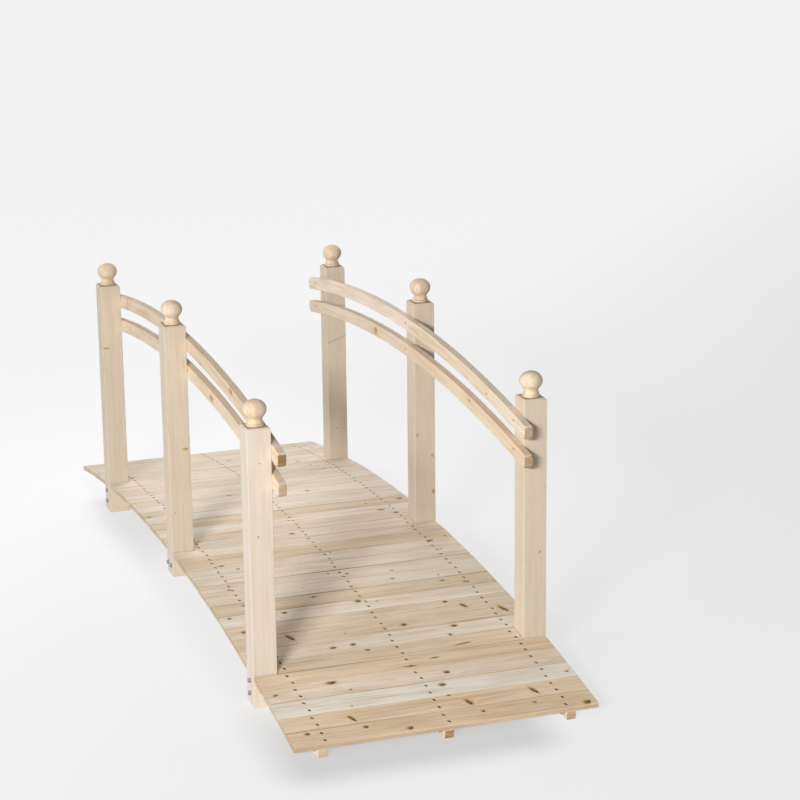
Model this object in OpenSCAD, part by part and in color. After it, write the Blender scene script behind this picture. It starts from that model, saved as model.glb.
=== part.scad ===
// Arched timber garden bridge with a boarded deck, six square posts with turned ball
// tops and two arched rails on each side.
// Millimetres. X runs along the bridge, Y across it and Z is up. The ground is Z = 0 and
// the crown of the arch stands over the origin.

/* [Deck boards] */
// Number of boards across the arch, an odd number so that one lies on the crown
board_count = 35; // [31:2:39]
// Width of one board, measured along the arch
board_w = 63.5; // [58:0.5:66]
// Thickness of the boards
board_t = 12; // [10:0.5:18]
// Open joint between two boards
board_gap = 2; // [1:0.25:4]
// Width of the bridge, which is the length of a full board
deck_w = 742; // [680:1:900]
// Chamfer on the upper long edges of each board
board_ease = 1.2; // [0.5:0.1:2]

/* [Joists] */
// Radius of the arch that the boards lie on
arch_r = 6610; // [6000:10:9000]
// Depth of a joist, measured square to the arch
joist_h = 56; // [45:1:70]
// Thickness of a joist
joist_t = 22; // [18:1:35]
// Height of the joist's end, from the ground to the underside of the first board
joist_end_h = 20.5; // [12:0.5:30]

/* [Posts] */
// Size of a post across the bridge
post_w = 58; // [50:1:70]
// Boards from the crown board to the board that lies between the end posts
post_step = 12; // [10:1:14]
// Chamfer round the top of a post
post_chamfer = 3.5; // [2:0.5:6]
// Small bevel on the upright edges of a post
post_bevel = 1.2; // [0.5:0.1:3]
// Height of a post's top above the upper rail at that post
post_over_rail = 36; // [25:1:60]
// Clearance between a post and the boards beside it
post_clear = 1.5; // [1:0.25:4]

/* [Rails] */
// Radius of the top edge of both rails
rail_r = 5070; // [4600:10:7500]
// Height of the upper rail's top edge above the deck, at the crown
rail_rise = 579; // [480:1:800]
// Distance between the top edges of the upper and the lower rail
rail_step = 71; // [55:1:120]
// Depth of a rail
rail_h = 35; // [28:1:50]
// Thickness of a rail
rail_t = 20; // [16:1:30]
// Length of rail that runs on beyond the end posts
rail_over = 54; // [30:1:90]
// Radius of the rounded corners at the ends of a rail
rail_corner = 9; // [4:0.5:13]
// Distance of the joint between the two lengths of a rail from the crown
rail_joint_x = 42; // [38:1:80]
// Width of that joint
rail_joint = 0.5; // [0.3:0.1:0.9]

/* [Finials] */
// Largest diameter of the ball
ball_d = 56; // [48:1:60]
// Height of the ball from its bead to its top
ball_h = 43; // [38:1:52]
// Diameter of the bead under the ball
bead_d = 39; // [36:1:44]
// Height of the bead
bead_h = 1.6; // [1:0.2:3]
// Height of the turned neck under the bead
neck_h = 13.5; // [10:0.5:24]
// Diameter of the neck at its waist
neck_d = 33.5; // [28:0.5:35]
// Diameter of the base ring that stands on the post
base_d = 43.5; // [41:0.5:50]
// Height of the base ring
base_h = 6; // [4:0.5:8]
// Diameter of the dowel that holds the finial in the post
dowel_d = 12; // [8:1:16]
// Length of the dowel
dowel_l = 32; // [20:1:45]
// Clearance of the dowel in its hole, on the diameter
dowel_clear = 0.4; // [0.2:0.1:1]

/* [Bolts] */
// Diameter of the bolts that hold the posts to the outer joists
bolt_d = 6; // [5:0.5:8]
// Distance between the two bolts of a post
bolt_step = 32; // [26:1:36]
// Diameter of the washers
washer_d = 12; // [11:0.5:18]
// Thickness of the washers
washer_t = 1.6; // [1:0.2:2.5]
// Width of the hexagon heads and nuts across their flats
hex_w = 10; // [9:0.5:13]
// Height of the hexagon heads
head_h = 4; // [3:0.1:6]
// Height of the nuts
nut_h = 5; // [4:0.5:7]
// Length of thread beyond a nut
thread_over = 3; // [2:0.5:10]
// Clearance of a bolt in its hole, on the diameter
bolt_clear = 0.6; // [0.4:0.1:1.5]

/* [Hidden] */

// Segments of a full circle for the long arches and for turned or drilled work
ARCH_FN = 1440;
TURN_FN = 72;
// Length by which a cutting body runs past what it cuts
PAST = 5;

// Height of the neck's waist as a share of the neck
NECK_WAIST = 0.55;

LEFT = -1;
RIGHT = 1;
NEAR = 1;
MID = 0;
FAR = -1;

board_pitch = board_w + board_gap;
crown = (board_count - 1) / 2;
// Half of the angle that the boards cover, from the crown to the outer edge of the last
arch_half = (crown * board_pitch + board_w / 2) / arch_r * 180 / PI;
// Height of the centre of the arch, which lies far below the ground
arch_z = joist_end_h - arch_r * cos(arch_half);
deck_top_z = arch_z + arch_r + board_t;

// A post stands in the place of one board, outside the outer joists and flush with the board ends
post_d = board_w - post_clear;
post_in_y = deck_w / 2 - post_w;
post_y = deck_w / 2 - post_w / 2;
post_x = (arch_r + board_t / 2) * sin(turn_of(post_step));
joist_y = post_in_y - joist_t / 2;

rail_top_z = deck_top_z + rail_rise;
rail_half = asin((post_x + post_d / 2 + rail_over) / rail_r);

finial_h = base_h + neck_h + ball_h;
// Height of the ball's top above its widest place
ball_rise = 0.54 * ball_h;

// Angle along the arch of the board that lies i boards from the crown
function turn_of(i) = i * board_pitch / arch_r * 180 / PI;
function along(place) = place * post_x;
// Height of the middle of a joist above the ground at a distance x from the crown
function joist_mid(x) = arch_z + sqrt(pow(arch_r - joist_h / 2, 2) - x * x);
// Height of the upper rail's top edge at a distance x from the crown
function rail_at(x) = rail_top_z - rail_r + sqrt(rail_r * rail_r - x * x);
function post_top(place) = rail_at(along(place)) + post_over_rail;
// The end posts stand on the ground, and the mid posts end level with the joists
function post_foot(place) = place == MID ? arch_z + arch_r - joist_h : 0;
// The two bolts of an end post stand one above the other, those of a mid post side by side
function bolt_x(place, k) = along(place) + (place == MID ? (k - 0.5) * bolt_step : 0);
function bolt_z(place, k) = joist_mid(along(place)) + (place == MID ? 0 : (k - 0.5) * bolt_step);

// Flat ring sector between two radii, out to the same angle on both sides of the top
module arch_band(outer, inner, half) {
    reach = outer / cos(half) + PAST;
    intersection() {
        difference() {
            circle(r = outer, $fn = ARCH_FN);
            circle(r = inner, $fn = ARCH_FN);
        }
        polygon([[0, 0], [-reach * sin(half), reach * cos(half)], [0, reach],
            [reach * sin(half), reach * cos(half)]]);
    }
}

// Stands a flat outline in X and Z and gives it a thickness across the bridge
module upright(thickness, y) {
    translate([0, y + thickness / 2, 0]) rotate([90, 0, 0]) linear_extrude(thickness) children();
}

// Joist: a band of the arch with square-cut ends and a flat foot at each end
module joist(y) {
    color("burlywood") difference() {
        upright(joist_t, y) intersection() {
            translate([0, arch_z]) arch_band(arch_r, arch_r - joist_h, arch_half);
            translate([-arch_r, 0]) square([2 * arch_r, deck_top_z]);
        }
        if (y != 0) bolt_holes(y > 0 ? RIGHT : LEFT);
    }
}

module bolt_holes(side) {
    for (place = [NEAR, MID, FAR], k = [0, 1])
        translate([bolt_x(place, k), 0, bolt_z(place, k)])
            rotate([side * -90, 0, 0])
                cylinder(h = deck_w / 2 + PAST, d = bolt_d + bolt_clear, $fn = TURN_FN);
}

// One board lying on the arch, i boards from the crown. One that lies between two posts is cut short.
module board(i) {
    length = abs(i) == post_step || i == 0 ? 2 * (post_in_y - post_clear) : deck_w;
    translate([0, length / 2, arch_z]) rotate([0, turn_of(i), 0]) translate([0, 0, arch_r])
        rotate([90, 0, 0]) linear_extrude(length) polygon([
            [-board_w / 2, 0], [board_w / 2, 0],
            [board_w / 2, board_t - board_ease], [board_w / 2 - board_ease, board_t],
            [-board_w / 2 + board_ease, board_t], [-board_w / 2, board_t - board_ease]]);
}

module boards(first, last) {
    color("tan") for (i = [first:last]) board(i);
}

// Post: square bar with bevelled edges, a chamfered top and holes for dowel and bolts
module post(place, side) {
    foot = post_foot(place);
    height = post_top(place) - foot;
    color("wheat") difference() {
        translate([along(place), side * post_y, foot]) intersection() {
            linear_extrude(height) bevelled(post_d, post_w, post_bevel);
            upright(post_w, 0) topped(post_d, height);
            rotate([0, 0, 90]) upright(post_d, 0) topped(post_w, height);
        }
        bolt_holes(side);
        translate([along(place), side * post_y, post_top(place) - dowel_l - 1])
            cylinder(h = dowel_l + PAST, d = dowel_d + dowel_clear, $fn = TURN_FN);
    }
}

module bevelled(x, y, b) {
    polygon([[-x / 2 + b, -y / 2], [x / 2 - b, -y / 2], [x / 2, -y / 2 + b], [x / 2, y / 2 - b],
        [x / 2 - b, y / 2], [-x / 2 + b, y / 2], [-x / 2, y / 2 - b], [-x / 2, -y / 2 + b]]);
}

module topped(w, h) {
    polygon([[-w / 2, 0], [w / 2, 0], [w / 2, h - post_chamfer], [w / 2 - post_chamfer, h],
        [-w / 2 + post_chamfer, h], [-w / 2, h - post_chamfer]]);
}

// Finial: turned ball over a bead, a hollow neck and a base ring, on a dowel
module finial(place, side) {
    bead_z = base_h + neck_h;
    ball_z = finial_h - ball_rise;
    // The underside of the ball comes down to the bead on a longer curve than the top
    low = acos((bead_d - bead_h) / ball_d);
    drop = (ball_z - bead_z - bead_h) / sin(low);
    color("moccasin") translate([along(place), side * post_y, post_top(place)])
        rotate_extrude($fn = TURN_FN) polygon(concat(
            [[0, -dowel_l], [dowel_d / 2 - 1, -dowel_l], [dowel_d / 2, 1 - dowel_l], [dowel_d / 2, 0]],
            half_round(base_d / 2, 0, base_h),
            [for (t = [0.1:0.1:0.9]) [neck_at(t), base_h + neck_h * t]],
            half_round(bead_d / 2, bead_z, bead_h),
            [for (k = [0:6]) [ball_d / 2 * cos(low - low * k / 6), ball_z - drop * sin(low - low * k / 6)]],
            [for (a = [10:10:80]) [ball_d / 2 * cos(a), ball_z + ball_rise * sin(a)]],
            [[0, finial_h]]));
}

// Outline of a half-round moulding that stands out to radius r, from height z up to z + h
function half_round(r, z, h) =
    [for (a = [-90:30:90]) [r - h / 2 + h / 2 * cos(a), z + h / 2 + h / 2 * sin(a)]];

// Radius of the hollow neck from the base ring (t = 0) over the waist up to the bead (t = 1)
function neck_at(t) = neck_d / 2 + (t < NECK_WAIST
    ? ((base_d - base_h) / 2 - 0.5 - neck_d / 2) * pow(1 - t / NECK_WAIST, 2)
    : ((bead_d - bead_h) / 2 - 0.3 - neck_d / 2) * pow((t - NECK_WAIST) / (1 - NECK_WAIST), 2));

// Rail: a band of its own arch with rounded corners, in two lengths that meet beside the mid post
module rail(top_z, side) {
    inner = rail_r - rail_h;
    color("peru") upright(rail_t, side * (post_in_y - rail_t / 2)) translate([0, top_z - rail_r])
        difference() {
            arch_band(rail_r, inner, rail_half);
            translate([side * rail_joint_x - rail_joint / 2, inner - rail_h]) square([rail_joint, 3 * rail_h]);
            for (end = [-1, 1]) {
                corner_waste(end, rail_r - rail_corner, 0);
                corner_waste(end, inner + rail_corner, -2 * rail_corner);
            }
        }
}

// What is cut off a corner of a rail: a square past the corner, less the circle that rounds it.
// The circle's centre is at the radius r, and the square starts at the height from_z beside it.
module corner_waste(end, r, from_z) {
    turn = rail_half - asin(rail_corner / r);
    translate(r * [end * sin(turn), cos(turn)]) rotate(-end * turn) difference() {
        translate([end > 0 ? 0 : -2 * rail_corner, from_z]) square(2 * rail_corner);
        circle(r = rail_corner, $fn = TURN_FN);
    }
}

// Bolt through a post and an outer joist, with a hexagon head, washers and a nut
module bolt(x, z, side) {
    grip = post_w + joist_t;
    translate([x, side * deck_w / 2, z]) rotate([side * 90, 0, 0]) {
        translate([0, 0, -washer_t - head_h]) cylinder(h = head_h, d = hex_w / cos(30), $fn = 6);
        translate([0, 0, -washer_t]) cylinder(h = washer_t, d = washer_d, $fn = TURN_FN);
        translate([0, 0, -washer_t]) cylinder(h = grip + 2 * washer_t + nut_h + thread_over,
            d = bolt_d, $fn = TURN_FN);
        translate([0, 0, grip]) cylinder(h = washer_t, d = washer_d, $fn = TURN_FN);
        translate([0, 0, grip + washer_t]) cylinder(h = nut_h, d = hex_w / cos(30), $fn = 6);
    }
}

module bolts(side) {
    color("silver") for (place = [NEAR, MID, FAR], k = [0, 1])
        bolt(bolt_x(place, k), bolt_z(place, k), side);
}

joist(-joist_y);  // joist_left
joist(0);  // joist_centre
joist(joist_y);  // joist_right
boards(post_step + 1, crown);  // boards_near_end
boards(post_step - 2, post_step);  // boards_near_post
boards(3, post_step - 3);  // boards_near_bay
boards(-2, 2);  // boards_crown
boards(3 - post_step, -3);  // boards_far_bay
boards(-post_step, 2 - post_step);  // boards_far_post
boards(-crown, -post_step - 1);  // boards_far_end
post(NEAR, LEFT);  // post_near_left
post(MID, LEFT);  // post_mid_left
post(FAR, LEFT);  // post_far_left
post(NEAR, RIGHT);  // post_near_right
post(MID, RIGHT);  // post_mid_right
post(FAR, RIGHT);  // post_far_right
finial(NEAR, LEFT);  // finial_near_left
finial(MID, LEFT);  // finial_mid_left
finial(FAR, LEFT);  // finial_far_left
finial(NEAR, RIGHT);  // finial_near_right
finial(MID, RIGHT);  // finial_mid_right
finial(FAR, RIGHT);  // finial_far_right
rail(rail_top_z, LEFT);  // rail_upper_left
rail(rail_top_z - rail_step, LEFT);  // rail_lower_left
rail(rail_top_z, RIGHT);  // rail_upper_right
rail(rail_top_z - rail_step, RIGHT);  // rail_lower_right
bolts(LEFT);  // bolts_left
bolts(RIGHT);  // bolts_right
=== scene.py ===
"""Arched garden bridge in unfinished fir: timber, fastenings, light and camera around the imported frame.

The frame's X runs along the bridge, Y across it and Z up. Lengths are metres unless a name says mm.
"""
import logging
import math
from dataclasses import dataclass, field
from enum import Enum, IntEnum

import bpy
import numpy as np
from bpy.types import Material, Mesh, Node, NodeSocket, NodeTree, Object
from mathutils import Matrix


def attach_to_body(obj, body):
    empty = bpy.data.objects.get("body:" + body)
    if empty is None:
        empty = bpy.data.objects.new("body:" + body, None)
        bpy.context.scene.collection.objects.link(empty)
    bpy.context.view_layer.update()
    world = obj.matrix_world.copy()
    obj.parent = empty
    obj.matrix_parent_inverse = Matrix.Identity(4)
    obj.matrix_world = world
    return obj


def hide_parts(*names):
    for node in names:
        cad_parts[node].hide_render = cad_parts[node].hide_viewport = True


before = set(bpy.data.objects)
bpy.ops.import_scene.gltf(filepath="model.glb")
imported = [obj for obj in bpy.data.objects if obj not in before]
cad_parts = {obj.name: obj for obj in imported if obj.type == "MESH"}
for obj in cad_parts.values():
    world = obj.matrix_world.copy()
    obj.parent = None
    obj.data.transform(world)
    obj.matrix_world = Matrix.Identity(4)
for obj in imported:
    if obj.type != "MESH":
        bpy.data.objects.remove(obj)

log = logging.getLogger("bridge")
MM = 0.001
# How a face was cut, as one number: 0 is planed, EDGE is a dusty sawn edge, 0.6 to 1 is end grain
EDGE = 0.5
# A distance, in half sizes of a knot, at which nothing of the knot shows
NO_KNOT = 9.0
# Points in the outline of a stick with rounded edges, and the numbers of its two flat sides in it
RING = 16
SIDE_FACES = (7, 15)

# Directions of the frame: along the bridge, across it and up
ALONG, ACROSS, UP = np.eye(3)

# Node settings that come up often: a soft step, a mix of two colours, and a colour darkened by a tint
SOFT = {"interpolation_type": "SMOOTHSTEP"}
MIX = {"data_type": "RGBA"}
TINT = {"data_type": "RGBA", "blend_type": "MULTIPLY"}


class Side(Enum):
    """The two sides of the bridge, as the sign of Y."""

    LEFT = -1
    RIGHT = 1


class Place(Enum):
    """The three pairs of posts, as the sign of X."""

    NEAR = 1
    MID = 0
    FAR = -1


class Seed(IntEnum):
    """Where each kind of random draw starts: a piece adds its own number."""

    STAPLES = 17
    LIFT = 60
    DUST = 160
    BOARDS = 400
    JOISTS = 700
    POSTS = 900
    RAILS = 1100
    FINIALS = 1300


class Tone(Enum):
    """Ground colours of sawn fir, from white sapwood to brown heartwood."""

    WHITE = "#fcf3e5"
    GREY = "#f4ede1"
    PALE = "#f6ebdb"
    PINK = "#f5e7d6"
    CREAM = "#efdfc9"
    STRAW = "#ebd9c0"
    TAN = "#efdac0"
    BROWN = "#ead5ba"


def linear(code: str) -> tuple[float, float, float, float]:
    """Turn an sRGB hex code into linear red, green, blue and an alpha of one.

    Args:
        code: The colour, such as "#e6dccb".

    Returns:
        The four linear channels, by the sRGB transfer formula.
    """
    channels = np.array([int(code[i:i + 2], 16) for i in (1, 3, 5)]) / 255.0
    flat = np.where(channels <= 0.04045, channels / 12.92, ((channels + 0.055) / 1.055) ** 2.4)
    return (float(flat[0]), float(flat[1]), float(flat[2]), 1.0)


def add(tree: NodeTree, kind: str, inputs: dict | tuple = (), **settings) -> Node:
    """Add one shader node.

    Args:
        tree: The node tree that takes it.
        kind: Blender's name of the node type, without its prefix for shader nodes.
        inputs: What goes in, in order or by an input's name or number. Each is a node or a socket
            to link, or a value to set.
        settings: Properties of the node itself.

    Returns:
        The new node.
    """
    made = tree.nodes.new("ShaderNode" + kind)
    for name, value in settings.items():
        setattr(made, name, value)
    for name, value in inputs.items() if isinstance(inputs, dict) else enumerate(inputs):
        if isinstance(value, Node):
            value = next(out for out in value.outputs if out.enabled)
        if isinstance(value, NodeSocket):
            tree.links.new(value, made.inputs[name])
        else:
            made.inputs[name].default_value = value
    return made


def new_material(name: str) -> tuple[Material, NodeTree, Node]:
    """Make an empty node material.

    Args:
        name: The finish's own name.

    Returns:
        The material, its node tree and its output node.
    """
    material = bpy.data.materials.new(name)
    material.use_nodes = True
    material.node_tree.nodes.clear()
    output = add(material.node_tree, "OutputMaterial")
    return material, material.node_tree, output


@dataclass(frozen=True)
class BridgeSizes:
    """Driving sizes of the bridge, in metres, as the solids have them."""

    board_count: int = 35
    board_w: float = 63.5 * MM
    board_t: float = 12 * MM
    board_gap: float = 2 * MM
    deck_w: float = 742 * MM
    arch_r: float = 6610 * MM
    joist_h: float = 56 * MM
    joist_t: float = 22 * MM
    joist_end_h: float = 20.5 * MM
    post_w: float = 58 * MM
    post_step: int = 12
    post_chamfer: float = 3.5 * MM
    post_over_rail: float = 36 * MM
    post_clear: float = 1.5 * MM
    rail_r: float = 5070 * MM
    rail_rise: float = 579 * MM
    rail_step: float = 71 * MM
    rail_h: float = 35 * MM
    rail_t: float = 20 * MM
    rail_over: float = 54 * MM
    rail_corner: float = 9 * MM
    rail_joint_x: float = 42 * MM
    rail_joint: float = 0.5 * MM
    bolt_step: float = 32 * MM

    @property
    def pitch(self) -> float:
        """Board and joint together, along the arch."""
        return self.board_w + self.board_gap

    @property
    def crown(self) -> int:
        """Number of boards from the crown board to the last."""
        return (self.board_count - 1) // 2

    @property
    def arch_half(self) -> float:
        """Half of the arch's angle, out to the edge of the last board."""
        return (self.crown * self.pitch + self.board_w / 2) / self.arch_r

    @property
    def arch_z(self) -> float:
        """Height of the arch's centre, below the ground."""
        return self.joist_end_h - self.arch_r * math.cos(self.arch_half)

    @property
    def deck_top(self) -> float:
        """Height of the deck's top at the crown."""
        return self.arch_z + self.arch_r + self.board_t

    @property
    def post_d(self) -> float:
        """Size of a post along the bridge: it stands in the place of one board."""
        return self.board_w - self.post_clear

    @property
    def post_in_y(self) -> float:
        """Distance of the posts' inner faces from the bridge's middle line."""
        return self.deck_w / 2 - self.post_w

    @property
    def post_y(self) -> float:
        """Distance of the posts' middles from the bridge's middle line."""
        return self.deck_w / 2 - self.post_w / 2

    @property
    def post_x(self) -> float:
        """Distance of the end posts from the crown."""
        return (self.arch_r + self.board_t / 2) * math.sin(self.post_step * self.pitch / self.arch_r)

    @property
    def joist_y(self) -> float:
        """Distance of the outer joists from the bridge's middle line."""
        return self.post_in_y - self.joist_t / 2

    @property
    def rail_top(self) -> float:
        """Height of the upper rail's top edge at the crown."""
        return self.deck_top + self.rail_rise

    @property
    def rail_half(self) -> float:
        """Half of the rails' angle."""
        return math.asin((self.post_x + self.post_d / 2 + self.rail_over) / self.rail_r)

    def post_top(self, place: Place) -> float:
        """Height of a post's top: the upper rail's top edge there, and the post's own reach over it."""
        x = place.value * self.post_x
        return self.rail_top - self.rail_r + math.sqrt(self.rail_r ** 2 - x * x) + self.post_over_rail

    def joist_mid(self, x: np.ndarray) -> np.ndarray:
        """Height of the middle of a joist at a distance from the crown."""
        return self.arch_z + np.sqrt((self.arch_r - self.joist_h / 2) ** 2 - x ** 2)

    def post_foot(self, place: Place) -> float:
        """Height of a post's foot: the end posts stand on the ground, the mid posts end with the joists."""
        return self.arch_z + self.arch_r - self.joist_h if place is Place.MID else 0.0


SIZES = BridgeSizes()


@dataclass(frozen=True)
class Knot:
    """A branch sawn through: an ellipse about an axis that crosses the timber.

    across and along are the two directions of the ellipse, as unit vectors in the frame.
    """

    centre: np.ndarray
    across: np.ndarray
    along: np.ndarray
    half_across: float
    half_along: float


@dataclass
class Timber:
    """One sawn or turned stick: its skin, and how it lay in the log.

    The grain frame has the log's middle as its origin and the fibres along its third axis. cells
    numbers the stretch between two stations that a face belongs to, and cut says how it was made:
    0 for a planed face, up to EDGE for a dusty sawn edge and more for end grain, up to 1 for the darkest.
    """

    points: np.ndarray
    faces: list[tuple[int, ...]]
    cells: np.ndarray
    cut: np.ndarray
    origin: np.ndarray
    axes: np.ndarray
    pith: tuple[float, float]
    shift: float
    tone: str
    knots: list[Knot | None] = field(default_factory=list)


def end_cut(depth: float) -> float:
    """Give the cut value of end grain that is stained to a depth from 0 to 1."""
    return 0.6 + 0.4 * depth


def rounded_rectangle(half_u: np.ndarray, half_v: np.ndarray, radius: np.ndarray) -> np.ndarray:
    """Outline a rectangle with rounded corners for each station, in RING points.

    Corner by corner, a point is the corner's circle centre plus the radius times the cosine and
    the sine of an angle that turns through a quarter.

    Args:
        half_u: Half widths, one for each station.
        half_v: Half heights, one for each station.
        radius: Corner radii, one for each station.

    Returns:
        Stations by points by two.
    """
    at_corner = RING // 4
    turn = np.linspace(0, np.pi / 2, at_corner)
    angle = np.concatenate([turn + quarter * np.pi / 2 for quarter in range(4)])
    sign_u = np.repeat([1, -1, -1, 1], at_corner)
    sign_v = np.repeat([1, 1, -1, -1], at_corner)
    u = sign_u * (half_u - radius)[:, None] + radius[:, None] * np.cos(angle)
    v = sign_v * (half_v - radius)[:, None] + radius[:, None] * np.sin(angle)
    return np.stack([u, v], axis=2)


def carried_rectangle(centre: np.ndarray, u: np.ndarray, v: np.ndarray, half_u: np.ndarray | float,
                      half_v: np.ndarray | float, radius: float) -> np.ndarray:
    """Carry a rounded rectangle along a path: centre plus u and v times the outline, station by station.

    Args:
        centre: Stations by three, the path.
        u: The unit vector of the width, one for all stations or one for each.
        v: The unit vector of the height, in the same way.
        half_u: Half the width, in the same way.
        half_v: Half the height, in the same way.
        radius: The corners' radius.

    Returns:
        All points, ring after ring.
    """
    count = len(centre)
    u, v = (np.broadcast_to(way, (count, 3)) for way in (u, v))
    outline = rounded_rectangle(*(np.broadcast_to(size, count) for size in (half_u, half_v, radius)))
    points = centre[:, None] + outline[..., :1] * u[:, None] + outline[..., 1:] * v[:, None]
    return points.reshape(-1, 3)


def arc_ways(turn: np.ndarray | float) -> tuple[np.ndarray, np.ndarray]:
    """Give the directions of an arc along the bridge: by the sine and the cosine of the angle.

    Args:
        turn: One or more angles from the arc's crown.

    Returns:
        The direction outwards from the arc's centre, and the one along the arc to the near end.
    """
    sine, cosine = np.sin(turn)[..., None], np.cos(turn)[..., None]
    return sine * ALONG + cosine * UP, cosine * ALONG - sine * UP


def turned(profile: np.ndarray, around: int) -> np.ndarray:
    """Turn a profile about Z: radius times the circle's cosine and sine, and the height.

    Args:
        profile: Points by two, radius and height.
        around: Points in a ring.

    Returns:
        Rings by points by three.
    """
    angle = np.linspace(0, 2 * np.pi, around, endpoint=False)
    ring = np.stack([np.cos(angle), np.sin(angle), np.zeros(around)], axis=1)
    return profile[:, 0, None, None] * ring + profile[:, 1, None, None] * UP


def tube_faces(stations: int, around: int, end: float = 0.0, edges: dict[int, float] | None = None
               ) -> tuple[list[tuple[int, ...]], np.ndarray, np.ndarray]:
    """List the faces of a tube of rings, closed by a face at both ends.

    Args:
        stations: Number of rings.
        around: Number of points in a ring.
        end: Cut value of the two ends.
        edges: Cut values of the faces that aren't planed, by their number round the ring.

    Returns:
        The faces, the number of the stretch that each belongs to, and how each was cut.
    """
    ring = np.arange(around)
    low = (np.arange(stations - 1)[:, None] * around + ring).ravel()
    after = (np.arange(stations - 1)[:, None] * around + (ring + 1) % around).ravel()
    quads = np.stack([low, after, after + around, low + around], axis=1)
    faces = [tuple(quad) for quad in quads.tolist()]
    faces.append(tuple(ring[::-1].tolist()))
    faces.append(tuple((ring + (stations - 1) * around).tolist()))
    cells = np.concatenate([np.repeat(np.arange(stations - 1), around), [0, stations - 2]])
    profile = np.zeros(around)
    for number, value in (edges or {}).items():
        profile[number] = value
    cut = np.concatenate([np.tile(profile, stations - 1), [end, end]])
    return faces, cells, cut


def attach(mesh: Mesh, name: str, kind: str, domain: str, values: np.ndarray) -> None:
    """Store one attribute on a mesh.

    Args:
        mesh: The mesh.
        name: The attribute's name.
        kind: FLOAT_VECTOR or FLOAT_COLOR.
        domain: POINT or CORNER.
        values: Rows of three or four numbers.
    """
    layer = mesh.attributes.new(name, kind, domain)
    key = "vector" if kind == "FLOAT_VECTOR" else "color"
    layer.data.foreach_set(key, np.ascontiguousarray(values, dtype=np.float32).ravel())


def link_mesh(name: str, points: np.ndarray, faces: list[tuple[int, ...]], smooth_deg: float) -> Object:
    """Make an object of points and faces and put it into the scene.

    Args:
        name: The object's name.
        points: Points by three.
        faces: For each face, the numbers of its points.
        smooth_deg: Edges sharper than this stay sharp, and the rest is smooth.

    Returns:
        The new object.
    """
    mesh = bpy.data.meshes.new(name)
    mesh.from_pydata(points.tolist(), [], faces)
    mesh.shade_smooth()
    mesh.set_sharp_from_angle(angle=math.radians(smooth_deg))
    made = bpy.data.objects.new(name, mesh)
    bpy.context.scene.collection.objects.link(made)
    return made


def knot_places(timbers: list[Timber], points: np.ndarray, loop_point: np.ndarray, loop_face: np.ndarray
                ) -> np.ndarray:
    """Measure each corner of a face from the knot of its own stretch.

    The first two numbers are the offset from the knot's middle, times the ellipse's two directions,
    over its half sizes. They are NO_KNOT where the stretch has none. The third is the half width.

    Args:
        timbers: The sticks of one piece.
        points: All their points.
        loop_point: For each corner, the number of its point.
        loop_face: For each corner, the number of its face.

    Returns:
        Corners by three.
    """
    centre, across, along = np.zeros((3, loop_face[-1] + 1, 3))
    size = np.zeros(loop_face[-1] + 1)
    start = 0
    for timber in timbers:
        for cell, knot in enumerate(timber.knots):
            if knot is not None:
                rows = start + np.flatnonzero((timber.cells == cell) & (timber.cut <= EDGE))
                centre[rows] = knot.centre
                across[rows] = knot.across / knot.half_across
                along[rows] = knot.along / knot.half_along
                size[rows] = knot.half_across
        start += len(timber.faces)
    offset = points[loop_point] - centre[loop_face]
    spot = np.stack([(offset * across[loop_face]).sum(1), (offset * along[loop_face]).sum(1),
                     size[loop_face]], axis=1)
    spot[size[loop_face] == 0, :2] = NO_KNOT
    return spot


def join_timbers(name: str, timbers: list[Timber], smooth_deg: float = 12.0) -> Object:
    """Join sticks into one piece that carries its grain, knots and tone as attributes.

    grain is the place in the log: the point less the origin, turned into the grain frame, with the
    pith's offset and a shift along the fibres added. tone is the ground colour, with the cut value as
    its alpha. knot is as knot_places gives it.

    Args:
        name: The piece's name.
        timbers: The sticks.
        smooth_deg: Edges sharper than this stay sharp.

    Returns:
        The new object.
    """
    offsets = np.cumsum([0] + [len(timber.points) for timber in timbers])
    points = np.concatenate([timber.points for timber in timbers])
    faces = [(np.array(face) + offset).tolist()
             for offset, timber in zip(offsets, timbers) for face in timber.faces]
    made = link_mesh(name, points, faces, smooth_deg)
    loop_face = np.repeat(np.arange(len(faces)), [len(face) for face in faces])
    loop_point = np.concatenate([np.array(face) for face in faces])
    grain = np.concatenate([(timber.points - timber.origin) @ timber.axes.T
                            + np.array([*timber.pith, timber.shift]) for timber in timbers])
    attach(made.data, "grain", "FLOAT_VECTOR", "POINT", grain)
    tone = np.concatenate([np.tile(linear(timber.tone), (len(timber.faces), 1)) for timber in timbers])
    tone[:, 3] = np.concatenate([timber.cut for timber in timbers])
    attach(made.data, "tone", "FLOAT_COLOR", "CORNER", tone[loop_face])
    attach(made.data, "knot", "FLOAT_VECTOR", "CORNER", knot_places(timbers, points, loop_point, loop_face))
    return made


def stamp(name: str, rings: np.ndarray, frames: np.ndarray, centres: np.ndarray, smooth_deg: float) -> Object:
    """Repeat a small turned shape: each copy is its centre plus the shape turned by its own frame.

    Args:
        name: The piece's name.
        rings: Rings by points by three, closed by a flat face at both ends.
        frames: Copies by three by three, with the shape's X, Y and Z as rows.
        centres: Copies by three.
        smooth_deg: Edges sharper than this stay sharp.

    Returns:
        One object that holds all the copies.
    """
    count, around = rings.shape[:2]
    shape = rings.reshape(-1, 3)
    points = centres[:, None] + np.einsum("vk,nkj->nvj", shape, frames)
    one = tube_faces(count, around)[0]
    steps = np.arange(len(centres)) * len(shape)
    quads = (np.array(one[:-2]) + steps[:, None, None]).reshape(-1, 4)
    caps = (np.array(one[-2:]) + steps[:, None, None]).reshape(-1, around)
    return link_mesh(name, points.reshape(-1, 3), quads.tolist() + caps.tolist(), smooth_deg)


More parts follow.
